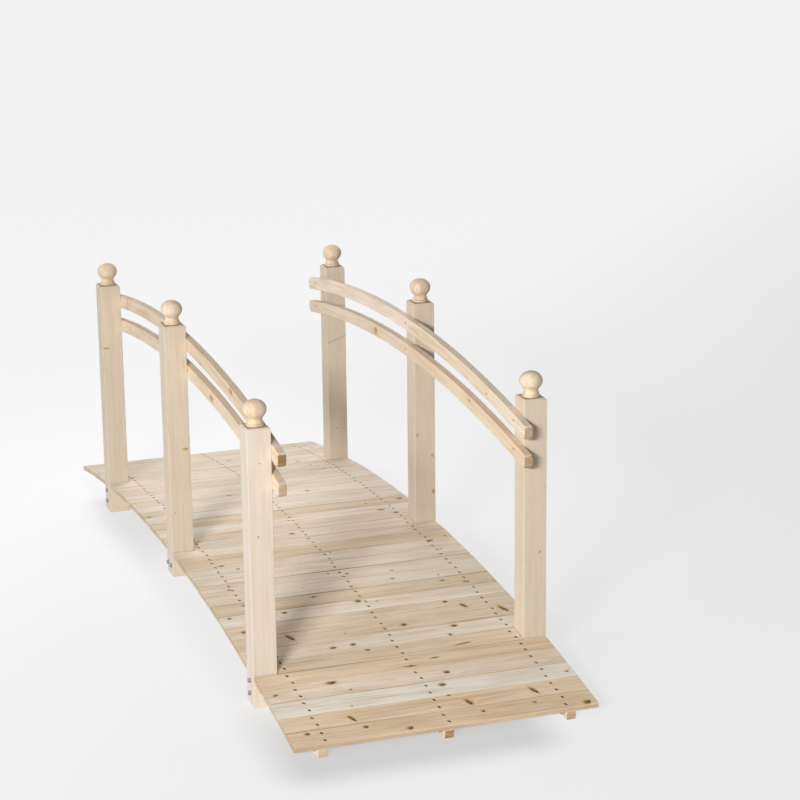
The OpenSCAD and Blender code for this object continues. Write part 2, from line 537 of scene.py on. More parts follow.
def settle(piece: Object, material: Material, nodes: list[str]) -> None:
    """Dress a piece, let it ride on the bridge and stand for its CAD nodes.

    Args:
        piece: The piece.
        material: Its finish.
        nodes: The CAD nodes that it replaces, if any.
    """
    piece.data.materials.append(material)
    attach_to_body(piece, "root")
    if nodes:
        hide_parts(*nodes)
    log.info("%s: %d faces", piece.name, len(piece.data.polygons))


# Noises in spots that are drawn out along the fibres: about how wide and how long a spot is in mm,
# octaves of finer noise, and how strong that is. A single fibre is too fine to show, so the spots
# for fibres are as wide as a bundle of them.
SPOTS = {"wander": (50, 380, 2.0, 0.5), "ripple": (9, 80, 2.0, 0.5), "wobble": (5, 7, 2.0, 0.5),
         "fade": (60, 300, 1.0, 0.5), "warm": (22, 150, 3.0, 0.55), "streak": (4.5, 260, 2.0, 0.5),
         "fibre": (1.1, 26, 3.0, 0.6), "fleck": (2.4, 30, 2.0, 0.5), "dust": (70, 500, 1.0, 0.5),
         "torn": (3.5, 16, 2.0, 0.5)}


@dataclass(frozen=True)
class FirFinish:
    """Unfinished fir, planed or sawn: pale, matt, with fine growth rings and small brown knots.

    The eye gets soft bands of warmer wood, a darker line for each year's late wood, short streaks
    along the fibres and ochre end grain. A ring is a shell about the log's middle, so one formula
    draws the flowing face figure, the straight edge grain and the curved end grain.
    """

    name: str
    # Width of a year's growth and of a band of warmer wood
    ring_mm: float = 3.4
    band_mm: float = 13.0
    # How far the log's middle wanders along the trunk, and how far a ring ripples
    wander_mm: float = 22.0
    ripple_mm: float = 2.6
    # How far a knot pushes the rings out, in half widths of it, and how fast that dies out
    knot_push: float = 1.6
    knot_fall: float = 0.22
    # How strongly late wood, bands, streaks, dust on sawn edges and knots show
    late_strength: float = 0.5
    band_strength: float = 0.5
    streak_strength: float = 0.5
    edge_strength: float = 0.75
    knot_strength: float = 1.0
    # Painted shade: a grey that darkens the whole finish, for timber that the lamps light more brightly than
    # the deck
    painted_shade: str = "#ffffff"
    roughness: float = 0.66
    bump: float = 0.12

    def rings(self, tree: NodeTree, noise: dict[str, Node], place: NodeSocket, knot: NodeSocket, away: Node
              ) -> tuple[Node, Node]:
        """Draw the growth rings as shells about the log's middle.

        The middle wanders along the trunk, a ring ripples, and a bell of the distance from a knot
        pushes it out, since the fibres part round it. A year is a slow rise through pale early wood
        and a sharp fall after dark late wood. Some decades have wide years and some narrow ones.

        Args:
            tree: The node tree.
            noise: The noises of SPOTS.
            place: The place in the log.
            knot: The knot attribute, with its half width as Z.
            away: The distance from the knot, in half sizes of it.

        Returns:
            The distance from the log's middle in metres, and how much late wood there is, from 0 to 1.
        """
        flat = add(tree, "VectorMath", (place, (1.0, 1.0, 0.0)), operation="MULTIPLY")
        drawn = add(tree, "VectorMath", (flat,), operation="LENGTH").outputs["Value"]
        for name, reach_mm in (("wander", self.wander_mm), ("ripple", self.ripple_mm)):
            either_way = add(tree, "Math", (noise[name], 0.5), operation="SUBTRACT")
            drawn = add(tree, "Math", (either_way, reach_mm * MM, drawn), operation="MULTIPLY_ADD")
        size = add(tree, "SeparateXYZ", (knot,)).outputs["Z"]
        square = add(tree, "Math", (away, away), operation="MULTIPLY")
        fall = add(tree, "Math", (square, -self.knot_fall), operation="MULTIPLY")
        bell = add(tree, "Math", (math.e, fall), operation="POWER")
        push = add(tree, "Math", (bell, size), operation="MULTIPLY")
        drawn = add(tree, "Math", (push, self.knot_push, drawn), operation="MULTIPLY_ADD")
        # A noise with one swing in about five years makes years wider or narrower, and fainter or darker
        years = add(tree, "Math", (drawn, self.ring_mm * MM), operation="DIVIDE")
        slow = add(tree, "Math", (years, 0.21), operation="MULTIPLY")
        decade = add(tree, "TexNoise", {"W": slow, "Scale": 1.0, "Detail": 1.0}, noise_dimensions="1D")
        years = add(tree, "Math", (decade, 3.5, years), operation="MULTIPLY_ADD")
        # Late wood comes on over most of the year and ends in its last twelfth
        part = add(tree, "Math", (years,), operation="FRACT")
        rise = add(tree, "MapRange", (part, 0.25, 0.9), **SOFT)
        fall = add(tree, "MapRange", (part, 0.92, 1.0, 1.0, 0.0), **SOFT)
        late = add(tree, "Math", (rise, fall), operation="MULTIPLY")
        strong = add(tree, "MapRange", (decade, 0.3, 0.7, 0.35, 1.0), **SOFT)
        return drawn, add(tree, "Math", (late, strong), operation="MULTIPLY")

    def figure(self, tree: NodeTree, noise: dict[str, Node], drawn: Node, late: Node, tone: NodeSocket
               ) -> Node:
        """Colour the face: its ground colour, darkened by late wood, bands, streaks, fibres and flecks.

        Args:
            tree: The node tree.
            noise: The noises of SPOTS.
            drawn: The distance from the log's middle.
            late: How much late wood there is.
            tone: The ground colour.

        Returns:
            The face's colour.
        """
        # Bands of warmer wood follow the rings, four or five years wide, and fade along the board
        band = add(tree, "Math", (drawn, self.band_mm * MM), operation="DIVIDE")
        band = add(tree, "TexNoise", {"W": band, "Scale": 1.0, "Detail": 2.0}, noise_dimensions="1D")
        band = add(tree, "MapRange", (band, 0.42, 0.62), **SOFT)
        faded = add(tree, "MapRange", (noise["fade"], 0.35, 0.6, 0.3, 1.0), **SOFT)
        band = add(tree, "Math", (band, faded), operation="MULTIPLY")
        warm = add(tree, "MapRange", (noise["warm"], 0.42, 0.7), **SOFT)
        streak = add(tree, "MapRange", (noise["streak"], 0.5, 0.68), **SOFT)
        fleck = add(tree, "MapRange", (noise["fleck"], 0.66, 0.76), **SOFT)
        # The painted shade darkens the ground colour all over
        colour = add(tree, "Mix", {0: 1.0, 6: tone, 7: linear(self.painted_shade)}, **TINT)
        for factor, strength, tint in ((late, self.late_strength, "#ecdec8"),
                                       (band, self.band_strength, "#eaddcb"),
                                       (warm, self.streak_strength, "#ede3d6"),
                                       (streak, self.streak_strength, "#e7dbcb"),
                                       (noise["fibre"], 0.3, "#efe8e1"),
                                       (fleck, 0.5, "#d4c2ad")):
            share = add(tree, "Math", (factor, strength), operation="MULTIPLY")
            colour = add(tree, "Mix", {0: share, 6: colour, 7: linear(tint)}, **TINT)
        return colour

    def cut_faces(self, tree: NodeTree, noise: dict[str, Node], late: Node, cut: NodeSocket, colour: Node
                  ) -> Node:
        """Darken what isn't planed: sawn edges hold dust, which on the deck's open outer edges is painted
        shade, and end grain drinks in the light.

        Args:
            tree: The node tree.
            noise: The noises of SPOTS.
            late: How much late wood there is, which end grain shows more strongly.
            cut: The cut value.
            colour: The colour so far.

        Returns:
            The colour with its edges and ends.
        """
        # Dust shows fully at EDGE, and what lies over it is end grain
        end = add(tree, "MapRange", (cut, 0.52, 0.58), **SOFT)
        edge = add(tree, "MapRange", (cut, EDGE / 2, EDGE), **SOFT)
        edge = add(tree, "Math", (edge, end), operation="SUBTRACT")
        depth = add(tree, "MapRange", (noise["dust"], 0.3, 0.7, 0.5 * self.edge_strength, self.edge_strength),
                    **SOFT)
        dust = add(tree, "Math", (edge, depth), operation="MULTIPLY")
        colour = add(tree, "Mix", {0: dust, 6: colour, 7: linear("#816c55")}, **TINT)
        stain = add(tree, "MapRange", (cut, end_cut(0.0), end_cut(1.0)))
        pale = add(tree, "Mix", {0: late, 6: linear("#e8e5df"), 7: linear("#d7cdbf")}, **MIX)
        dark = add(tree, "Mix", {0: late, 6: linear("#c2ac89"), 7: linear("#7e6548")}, **MIX)
        tint = add(tree, "Mix", {0: stain, 6: pale, 7: dark}, **MIX)
        return add(tree, "Mix", {0: end, 6: colour, 7: tint}, **TINT)

    def knots(self, tree: NodeTree, noise: dict[str, Node], spot: Node, away: Node, colour: Node) -> Node:
        """Draw the knots: an amber halo along the fibres, a brown heart and a dark crescent of bark.

        Args:
            tree: The node tree.
            noise: The noises of SPOTS.
            spot: The place measured from the knot.
            away: The distance from it.
            colour: The colour so far.

        Returns:
            The colour with its knots.
        """
        # The halo fades out at twice the knot's size, the heart and its rim of bark just inside its edge
        halo = add(tree, "MapRange", (away, 0.8, 1.9, 0.25 + 0.45 * self.knot_strength, 0.0), **SOFT)
        torn = add(tree, "MapRange", (noise["torn"], 0.3, 0.6, 0.35, 1.0), **SOFT)
        halo = add(tree, "Math", (halo, torn), operation="MULTIPLY")
        colour = add(tree, "Mix", {0: halo, 6: colour, 7: linear("#c9a25f")}, **MIX)
        # One side of it is darker, with an uneven border
        lean = add(tree, "VectorMath", (spot, (0.8, 0.6, 0.0)), operation="DOT_PRODUCT").outputs["Value"]
        uneven = add(tree, "Math", (noise["wobble"], 0.5), operation="SUBTRACT")
        lean = add(tree, "Math", (uneven, 2.4, lean), operation="MULTIPLY_ADD")
        dark_side = add(tree, "MapRange", (lean, -0.7, 0.8), **SOFT)
        heart = add(tree, "Mix", {0: dark_side, 6: linear("#a07a35"), 7: linear("#4f3814")}, **MIX)
        inside = add(tree, "MapRange", (away, 0.55, 0.95, self.knot_strength, 0.0), **SOFT)
        colour = add(tree, "Mix", {0: inside, 6: colour, 7: heart}, **MIX)
        inner = add(tree, "MapRange", (away, 0.35, 0.7), **SOFT)
        outer = add(tree, "MapRange", (away, 0.75, 1.0, 1.0, 0.0), **SOFT)
        rim = add(tree, "Math", (inner, outer), operation="MULTIPLY")
        bark = add(tree, "MapRange", (lean, -0.5, 0.4, 0.15, self.knot_strength ** 2), **SOFT)
        rim = add(tree, "Math", (rim, bark), operation="MULTIPLY")
        return add(tree, "Mix", {0: rim, 6: colour, 7: linear("#2a1a0a")}, **MIX)

    def material(self) -> Material:
        """Build the node material.

        Returns:
            The finish as a material that reads the grain, knot and tone attributes.
        """
        material, tree, output = new_material(self.name)
        place, knot = (add(tree, "Attribute", attribute_name=name).outputs["Vector"]
                       for name in ("grain", "knot"))
        tone = add(tree, "Attribute", attribute_name="tone")
        noise = {}
        for name, (wide_mm, long_mm, detail, roughness) in SPOTS.items():
            wide, long = 1 / (wide_mm * MM), 1 / (long_mm * MM)
            scaled = add(tree, "VectorMath", (place, (wide, wide, long)), operation="MULTIPLY")
            noise[name] = add(tree, "TexNoise", {"Vector": scaled, "Scale": 1.0, "Detail": detail,
                              "Roughness": roughness})
        # A knot's outline is uneven
        spot = add(tree, "VectorMath", (knot, (1.0, 1.0, 0.0)), operation="MULTIPLY")
        away = add(tree, "VectorMath", (spot,), operation="LENGTH").outputs["Value"]
        uneven = add(tree, "Math", (noise["wobble"], 0.5), operation="SUBTRACT")
        away = add(tree, "Math", (uneven, 0.7, away), operation="MULTIPLY_ADD")
        drawn, late = self.rings(tree, noise, place, knot, away)
        colour = self.figure(tree, noise, drawn, late, tone.outputs["Color"])
        colour = self.cut_faces(tree, noise, late, tone.outputs["Alpha"], colour)
        colour = self.knots(tree, noise, spot, away, colour)
        # Fibres and late wood stand a little proud of the planed face
        relief = add(tree, "Math", (late, 0.6, noise["fibre"]), operation="MULTIPLY_ADD")
        bump = add(tree, "Bump", {"Height": relief, "Strength": self.bump, "Distance": 0.3 * MM})
        shine = add(tree, "MapRange", {"Value": noise["fibre"], "To Min": self.roughness - 0.08,
                    "To Max": self.roughness + 0.08})
        shader = add(tree, "BsdfPrincipled", {"Base Color": colour, "Roughness": shine,
                     "Normal": bump, "IOR": 1.45, "Specular IOR Level": 0.35})
        tree.links.new(shader.outputs[0], output.inputs["Surface"])
        return material


@dataclass(frozen=True)
class ZincFinish:
    """Zinc-plated steel, barrel plated: dull grey metal with a faint crystal mottle."""

    name: str
    colour: str = "#b9bcbf"
    dark: str = "#7e838a"
    roughness: float = 0.42
    mottle_mm: float = 1.5

    def material(self) -> Material:
        """Build the node material.

        Returns:
            The finish as a material on object coordinates.
        """
        material, tree, output = new_material(self.name)
        place = add(tree, "TexCoord").outputs["Object"]
        mottle = add(tree, "TexNoise", {"Vector": place, "Scale": 1 / (self.mottle_mm * MM), "Detail": 3.0})
        colour = add(tree, "Mix", {0: mottle, 6: linear(self.colour), 7: linear(self.dark)}, **MIX)
        shine = add(tree, "MapRange", {"Value": mottle, "To Min": self.roughness - 0.1,
                    "To Max": self.roughness + 0.15})
        shader = add(tree, "BsdfPrincipled", {"Base Color": colour, "Metallic": 1.0, "Roughness": shine})
        tree.links.new(shader.outputs[0], output.inputs["Surface"])
        return material


@dataclass(frozen=True)
class StapleFinish:
    """Resin-coated steel, shot or screwed in just under the face: brown and dull, and darker still with
    painted shade, as in a dark slot.

    The coat differs from one patch of the deck to the next, from ochre to dark brown.
    """

    name: str
    # Both colours hold the coat's brown together with the painted shade of a dark slot
    colour: str = "#7c5408"
    dark: str = "#3c2604"
    roughness: float = 0.85
    patch_mm: float = 40.0

    def material(self) -> Material:
        """Build the node material.

        Returns:
            The finish as a material on object coordinates.
        """
        material, tree, output = new_material(self.name)
        place = add(tree, "TexCoord").outputs["Object"]
        patch = add(tree, "TexNoise", {"Vector": place, "Scale": 1 / (self.patch_mm * MM), "Detail": 1.0})
        patch = add(tree, "MapRange", (patch, 0.4, 0.6))
        colour = add(tree, "Mix", {0: patch, 6: linear(self.colour), 7: linear(self.dark)}, **MIX)
        shader = add(tree, "BsdfPrincipled", {"Base Color": colour, "Roughness": self.roughness,
                     "Specular IOR Level": 0.0})
        tree.links.new(shader.outputs[0], output.inputs["Surface"])
        return material


@dataclass
class Deck:
    """The boards that lie on the arch, from the near end to the far end.

    No two boards are quite alike: they differ in thickness, length, width and ease, in the dust in
    their joints, and in where the saw went through the log.
    """

    sizes: BridgeSizes
    finish: Material
    ease: float = 1.2 * MM
    # Depth of the stain in the end grain, and cut value of the two outer edges, which lie open: their dust is
    # painted shade on faces that the low lamp lights strongly
    end_stain: float = 0.4
    open_edge_shade: float = 0.37
    # How much a board may be too thin or thick, too short, and too wide or narrow on each side
    lift_mm: tuple[float, float] = (-0.5, 0.3)
    short_mm: tuple[float, float] = (0.0, 0.9)
    slack_mm: tuple[float, float] = (-0.5, 0.8)
    # How much paler than full of dust a joint may be, and the power that makes the palest ones rare
    dust_spread: float = 0.16
    dust_power: float = 1.4
    # The small knots that any board has: places from, to and apart in metres, how far a knot may lie
    # from its place, how often a place holds one, and how far knots have to be apart
    small_places: tuple[float, float, float] = (-0.33, 0.34, 0.11)
    small_shift: float = 0.04
    small_share: float = 0.24
    knots_apart: float = 45 * MM
    # Their half width, how much longer than wide they are, how far off the board's middle line they
    # lie at most, and how far they lean
    small_half_mm: tuple[float, float] = (1.6, 4.2)
    small_stretch: tuple[float, float] = (1.1, 1.9)
    small_off_mm: float = 26.0
    small_lean_deg: float = 25.0
    # How far any knot stays from the board's ends
    end_clear: float = 10 * MM
    # The boards grow paler towards the far end: partly their own tones, partly painted light on the far deck,
    # which the lamps light too weakly
    tones: tuple[Tone, ...] = (
        Tone.BROWN, Tone.TAN, Tone.GREY, Tone.PINK, Tone.TAN, Tone.STRAW, Tone.PALE, Tone.CREAM,
        Tone.CREAM, Tone.WHITE, Tone.STRAW, Tone.PALE, Tone.PALE, Tone.PALE, Tone.PALE, Tone.STRAW,
        Tone.PINK, Tone.PALE, Tone.PINK, Tone.WHITE, Tone.CREAM, Tone.WHITE, Tone.PALE, Tone.WHITE,
        Tone.PALE, Tone.WHITE, Tone.PALE, Tone.PALE, Tone.WHITE, Tone.WHITE, Tone.WHITE, Tone.PALE,
        Tone.WHITE, Tone.WHITE, Tone.WHITE)
    groups: tuple[tuple[str, int, int], ...] = (
        ("boards_near_end", 13, 17), ("boards_near_post", 10, 12), ("boards_near_bay", 3, 9),
        ("boards_crown", -2, 2), ("boards_far_bay", -9, -3), ("boards_far_post", -12, -10),
        ("boards_far_end", -17, -13))

    def lift(self, index: int) -> float:
        """Tell how much a board's top stands over the arch, since no two are planed to one thickness."""
        return float(np.random.default_rng(Seed.LIFT + index).uniform(*self.lift_mm)) * MM

    def dust(self, index: int) -> float:
        """Tell how dark the joint on a board's far side is: some are tight and pale, some full of dust."""
        share = float(np.random.default_rng(Seed.DUST + index).uniform())
        return EDGE - self.dust_spread * share ** self.dust_power

    def board(self, index: int, rng: np.random.Generator) -> Timber:
        """Build one board: a rounded rectangle carried straight across the bridge.

        Args:
            index: Boards from the crown, positive towards the near end.
            rng: The seeded source of small differences.

        Returns:
            The board.
        """
        s = self.sizes
        outwards, tangent = arc_ways(index * s.pitch / s.arch_r)
        middle = s.arch_z * UP + (s.arch_r + s.board_t / 2) * outwards
        between_posts = abs(index) == s.post_step or index == 0
        half = (s.post_in_y - s.post_clear if between_posts
                else s.deck_w / 2 - rng.uniform(*self.short_mm) * MM)
        spots, knots = self.knots(index, half, middle, tangent, rng)
        stations = np.array([-half, *spots, half])
        slack = rng.uniform(*self.slack_mm, 2) * MM
        if abs(index) == s.crown:
            slack = np.abs(slack)
        centre = middle + (slack[0] - slack[1]) / 2 * tangent + stations[:, None] * ACROSS
        centre += self.lift(index) / 2 * outwards
        points = carried_rectangle(centre, -tangent, outwards, (s.board_w - slack.sum()) / 2,
                                   (s.board_t + self.lift(index)) / 2, self.ease * rng.uniform(0.7, 1.3))
        near_edge = self.open_edge_shade if index == s.crown else self.dust(index + 1)
        far_edge = self.open_edge_shade if index == -s.crown else self.dust(index)
        # Dust lies on both edges and on the rounding over them, further up on the near one. On the open outer
        # edges of the two end boards it is painted shade.
        near, far = SIDE_FACES
        faces, cells, cut = tube_faces(len(stations), RING, end_cut(self.end_stain), {
            near - 2: near_edge - 0.08, near - 1: near_edge, near: near_edge,
            far: far_edge, (far + 1) % RING: far_edge})
        pith = (rng.uniform(-45, 45) * MM, rng.choice([-1, 1]) * rng.uniform(18, 80) * MM)
        axes = np.array([tangent, outwards, ACROSS])
        axes[0, 1] = rng.uniform(-0.02, 0.02)
        return Timber(points, faces, cells, cut, middle, axes, pith, rng.uniform(0, 9),
                      self.tones[s.crown - index].value, knots)

    def knots(self, index: int, half: float, middle: np.ndarray, tangent: np.ndarray,
              rng: np.random.Generator) -> tuple[list[float], list[Knot | None]]:
        """Place a board's knots, and the stations halfway between them.

        Args:
            index: Boards from the crown.
            half: Half of the board's length.
            middle: The board's middle.
            tangent: The direction along the arch.
            rng: The seeded source of small differences.

        Returns:
            The stations between the knots, and the knot of each stretch.
        """
        found = list(DECK_KNOTS.get(self.sizes.crown - index + 1, ()))
        for y in np.arange(*self.small_places):
            spot = y + rng.uniform(-self.small_shift, self.small_shift)
            small = rng.uniform(*self.small_half_mm)
            offset = rng.uniform(-self.small_off_mm, self.small_off_mm)
            free = all(abs(spot - other[0]) > self.knots_apart for other in found)
            if rng.random() < self.small_share and free:
                found.append((spot, offset, small, small * rng.uniform(*self.small_stretch),
                              rng.uniform(-self.small_lean_deg, self.small_lean_deg)))
        found = sorted(knot for knot in found if abs(knot[0]) < half - self.end_clear)
        knots: list[Knot | None] = []
        for y, offset, half_wide, half_long, lean in found:
            turn = math.radians(lean)
            long_way = math.cos(turn) * ACROSS + math.sin(turn) * tangent
            wide_way = math.cos(turn) * tangent - math.sin(turn) * ACROSS
            centre = middle + y * ACROSS + offset * MM * tangent
            knots.append(Knot(centre, wide_way, long_way, half_wide * MM, half_long * MM))
        between = [(a[0] + b[0]) / 2 for a, b in zip(found, found[1:])]
        return between, knots or [None]

    def build(self) -> None:
        """Build every group of boards in place of its CAD node."""
        for name, first, last in self.groups:
            rng = np.random.default_rng(Seed.BOARDS + first)
            timbers = [self.board(index, rng) for index in range(first, last + 1)]
            settle(join_timbers("fir_" + name, timbers), self.finish, [name])


# The deck's larger knots, by board from the near end. Each is its distance to the right of the
# middle line in metres, its offset towards the near end, half its width, half its length (mm),
# and its lean in degrees. A spike knot, sawn along the branch, is a long one with a steep lean.
DECK_KNOTS: dict[int, tuple[tuple[float, float, float, float, float], ...]] = {
    1: ((-0.325, -20, 6, 7, 0), (-0.187, -14, 6, 7, 10), (-0.091, 16, 7, 8, -10), (0.096, -7, 5, 5, 0),
        (0.226, -12, 4, 5, 0), (0.345, 18, 9, 10, 0)),
    2: ((-0.207, 8, 5, 16, 66), (0.042, -28, 4, 5, 0), (0.078, 12, 6, 16, 70), (0.244, 4, 6, 18, 68)),
    3: ((-0.19, 24, 2, 3, 0), (0.044, -12, 7, 9, 0)),
    4: ((-0.205, -24, 8, 13, 5), (-0.17, 18, 3, 4, 0), (0.074, 2, 7, 8, 0)),
    5: ((0.0, 18, 3, 16, 4), (0.07, -6, 3, 12, -5)),
    6: ((0.16, 12, 3, 26, -8),),
    7: ((-0.148, 10, 6, 8, 0), (-0.097, 7, 6, 7, 0), (0.148, 24, 5, 5, 0), (0.173, -18, 7, 9, 0)),
    8: ((-0.232, -4, 6, 20, 68), (0.056, 8, 8, 8, 0), (0.325, -8, 6, 22, 68)),
    9: ((-0.331, 1, 7, 9, 0), (0.198, -20, 6, 7, 0), (0.236, 14, 6, 14, 68)),
    10: ((-0.345, -18, 5, 6, 0), (-0.206, -11, 6, 7, 0), (-0.01, -22, 7, 9, 0)),
    11: ((-0.109, -15, 5, 6, 0), (0.29, 10, 4, 5, 0)),
    13: ((0.018, 0, 4, 5, 0), (-0.3, 8, 4, 5, 0)),
    15: ((-0.276, -24, 4, 9, 0), (-0.24, 9, 4, 5, 0), (0.302, -22, 6, 9, 0)),
    18: ((-0.03, -6, 5, 9, 0),),
    20: ((0.262, 13, 6, 12, 0),),
    21: ((-0.1, 10, 4, 14, 0), (0.345, -5, 7, 9, 0)),
    24: ((0.13, 4, 5, 6, 0),),
    27: ((-0.2, -8, 5, 6, 0), (0.08, 10, 6, 9, 0)),
    30: ((0.22, 0, 5, 7, 0),),
}


@dataclass
class Joists:
    """The three arched bearers under the boards."""

    sizes: BridgeSizes
    finish: Material
    stations: int = 81
    ease: float = 0.8 * MM
    # Depth of the stain in the end grain, from the left joist to the right one
    stains: tuple[float, float, float] = (0.3, 1.0, 0.6)

    def joist(self, y: float, stain: float, rng: np.random.Generator) -> Timber:
        """Build one joist: a rectangle carried along the arch, cut off flat where it meets the ground.

        A station's bottom lies on the inner arc, or on the ground where that is higher on the same
        radial line.

        Args:
            y: The joist's place across the bridge.
            stain: How dark its end grain is.
            rng: The seeded source of small differences.

        Returns:
            The joist.
        """
        s = self.sizes
        turn = np.linspace(-s.arch_half, s.arch_half, self.stations)
        outwards = arc_ways(turn)[0]
        inner = np.maximum(s.arch_r - s.joist_h, -s.arch_z / np.cos(turn))
        centre = y * ACROSS + s.arch_z * UP + (s.arch_r + inner)[:, None] / 2 * outwards
        points = carried_rectangle(centre, ACROSS, outwards, s.joist_t / 2, (s.arch_r - inner) / 2, self.ease)
        points[:, 2] = np.maximum(points[:, 2], 0.0)
        faces, cells, cut = tube_faces(self.stations, RING, end_cut(stain))
        pith = (rng.uniform(-12, 12) * MM, rng.uniform(-20, -6) * MM)
        return Timber(points, faces, cells, cut, np.array([0.0, y, 50 * MM]), np.array([ACROSS, UP, ALONG]),
                      pith, rng.uniform(0, 9), Tone.PALE.value)

    def build(self) -> None:
        """Build the three joists in place of their CAD nodes."""
        reach = self.sizes.joist_y
        for name, y, stain in zip(("joist_left", "joist_centre", "joist_right"), (-reach, 0.0, reach),
                                  self.stains):
            rng = np.random.default_rng(Seed.JOISTS + round(y * 100))
            settle(join_timbers("fir_" + name, [self.joist(y, stain, rng)]), self.finish, [name])


@dataclass
class Posts:
    """The six square posts with chamfered tops.

    A post may be glued up from two bars on a slanting scarf joint. Heights are above the ground.
    """

    sizes: BridgeSizes
    finish: Material
    ease: float = 1.3 * MM
    foot_inset: float = 0.8 * MM
    foot_h: float = 1 * MM
    end_stain: float = 0.25
    # Rise of a scarf over the way across the post, and height of the dusty line along it
    scarf_slope: float = 0.37
    scarf_line: float = 1.6 * MM
    scarfs: dict[str, list[float]] = field(default_factory=lambda: {"far_right": [0.4635]})
    tones: dict[str, Tone] = field(default_factory=lambda: {
        "near_left": Tone.PINK, "mid_left": Tone.CREAM, "far_left": Tone.CREAM,
        "near_right": Tone.CREAM, "mid_right": Tone.CREAM, "far_right": Tone.CREAM})

    def bar(self, place: Place, side: Side, heights: tuple[float, float], tone: Tone,
            rng: np.random.Generator) -> Timber:
        """Build one bar: a rounded rectangle carried upwards, drawn in at the foot and at the chamfered top.

        A ring at a glued joint is tilted: its height changes by the slope times the way across.

        Args:
            place: Which pair of posts it belongs to.
            side: Its side.
            heights: Where it starts and where it ends.
            tone: Its ground colour.
            rng: The seeded source of small differences.

        Returns:
            The bar.
        """
        s = self.sizes
        x = place.value * s.post_x
        y = side.value * s.post_y
        low, high = heights
        found = [knot for knot in POST_KNOTS.get((place, side), ()) if low < knot[0] < high]
        at_foot = low == s.post_foot(place)
        at_top = high == s.post_top(place)
        between = [(a[0] + b[0]) / 2 for a, b in zip(found, found[1:])]
        z = np.array([low, low + (self.foot_h if at_foot else self.scarf_line), *between,
                      *[high - s.post_chamfer] * at_top, high])
        count = len(z)
        inset = np.zeros(count)
        inset[0] = self.foot_inset * at_foot
        inset[-1] = s.post_chamfer * at_top
        centre = x * ALONG + y * ACROSS + z[:, None] * UP
        points = carried_rectangle(centre, ALONG, ACROSS, s.post_d / 2 - inset, s.post_w / 2 - inset,
                                   self.ease)
        low_slope = 0.0 if at_foot else self.scarf_slope
        high_slope = 0.0 if at_top else self.scarf_slope
        slope = np.repeat([low_slope, low_slope, *[0.0] * (count - 3), high_slope], RING)
        points[:, 2] += slope * (points[:, 1] - y)
        faces, cells, cut = tube_faces(count, RING, end_cut(self.end_stain))
        on_sides = np.isin(np.arange(len(faces)) % RING, SIDE_FACES)
        cut[(cells == 0) & on_sides] = 0.0 if at_foot else EDGE
        knots: list[Knot | None] = [None]
        for height, offset, half_wide, half_high in found:
            middle = np.array([x, y, height]) + offset * MM * ACROSS
            knots.append(Knot(middle, ACROSS, UP, half_wide * MM, half_high * MM))
        knots += [None] * (count - 1 - len(knots))
        pith = (rng.choice([-1, 1]) * rng.uniform(35, 90) * MM, rng.uniform(-50, 50) * MM)
        return Timber(points, faces, cells, cut, np.array([x, y, 0.0]), np.eye(3), pith,
                      rng.uniform(0, 9), tone.value, knots)

    def build(self) -> None:
        """Build the six posts in place of their CAD nodes."""
        for place in Place:
            for side in Side:
                name = place.name.lower() + "_" + side.name.lower()
                rng = np.random.default_rng(Seed.POSTS + 10 * place.value + side.value)
                stops = [self.sizes.post_foot(place), *self.scarfs.get(name, []), self.sizes.post_top(place)]
                timbers = [self.bar(place, side, heights, self.tones[name], rng)
                           for heights in zip(stops, stops[1:])]
                settle(join_timbers("fir_post_" + name, timbers), self.finish, ["post_" + name])


# The knots on the posts' faces that look along the bridge: height above the ground in metres,
# offset to the right, half width and half height (mm).
POST_KNOTS: dict[tuple[Place, Side], tuple[tuple[float, float, float, float], ...]] = {
    (Place.NEAR, Side.LEFT): ((0.425, -8, 2.5, 3), (0.602, 0, 3, 2)),
    (Place.MID, Side.LEFT): ((0.24, -18, 2, 3), (0.413, 16, 8, 4)),
    (Place.FAR, Side.LEFT): ((0.502, -19, 11, 2.5),),
    (Place.NEAR, Side.RIGHT): ((0.3, 12, 3, 4),),
    (Place.MID, Side.RIGHT): ((0.217, 23, 5, 6), (0.32, 20, 4, 4), (0.382, -22, 3, 4)),
    (Place.FAR, Side.RIGHT): ((0.186, -3, 2, 3),),
}


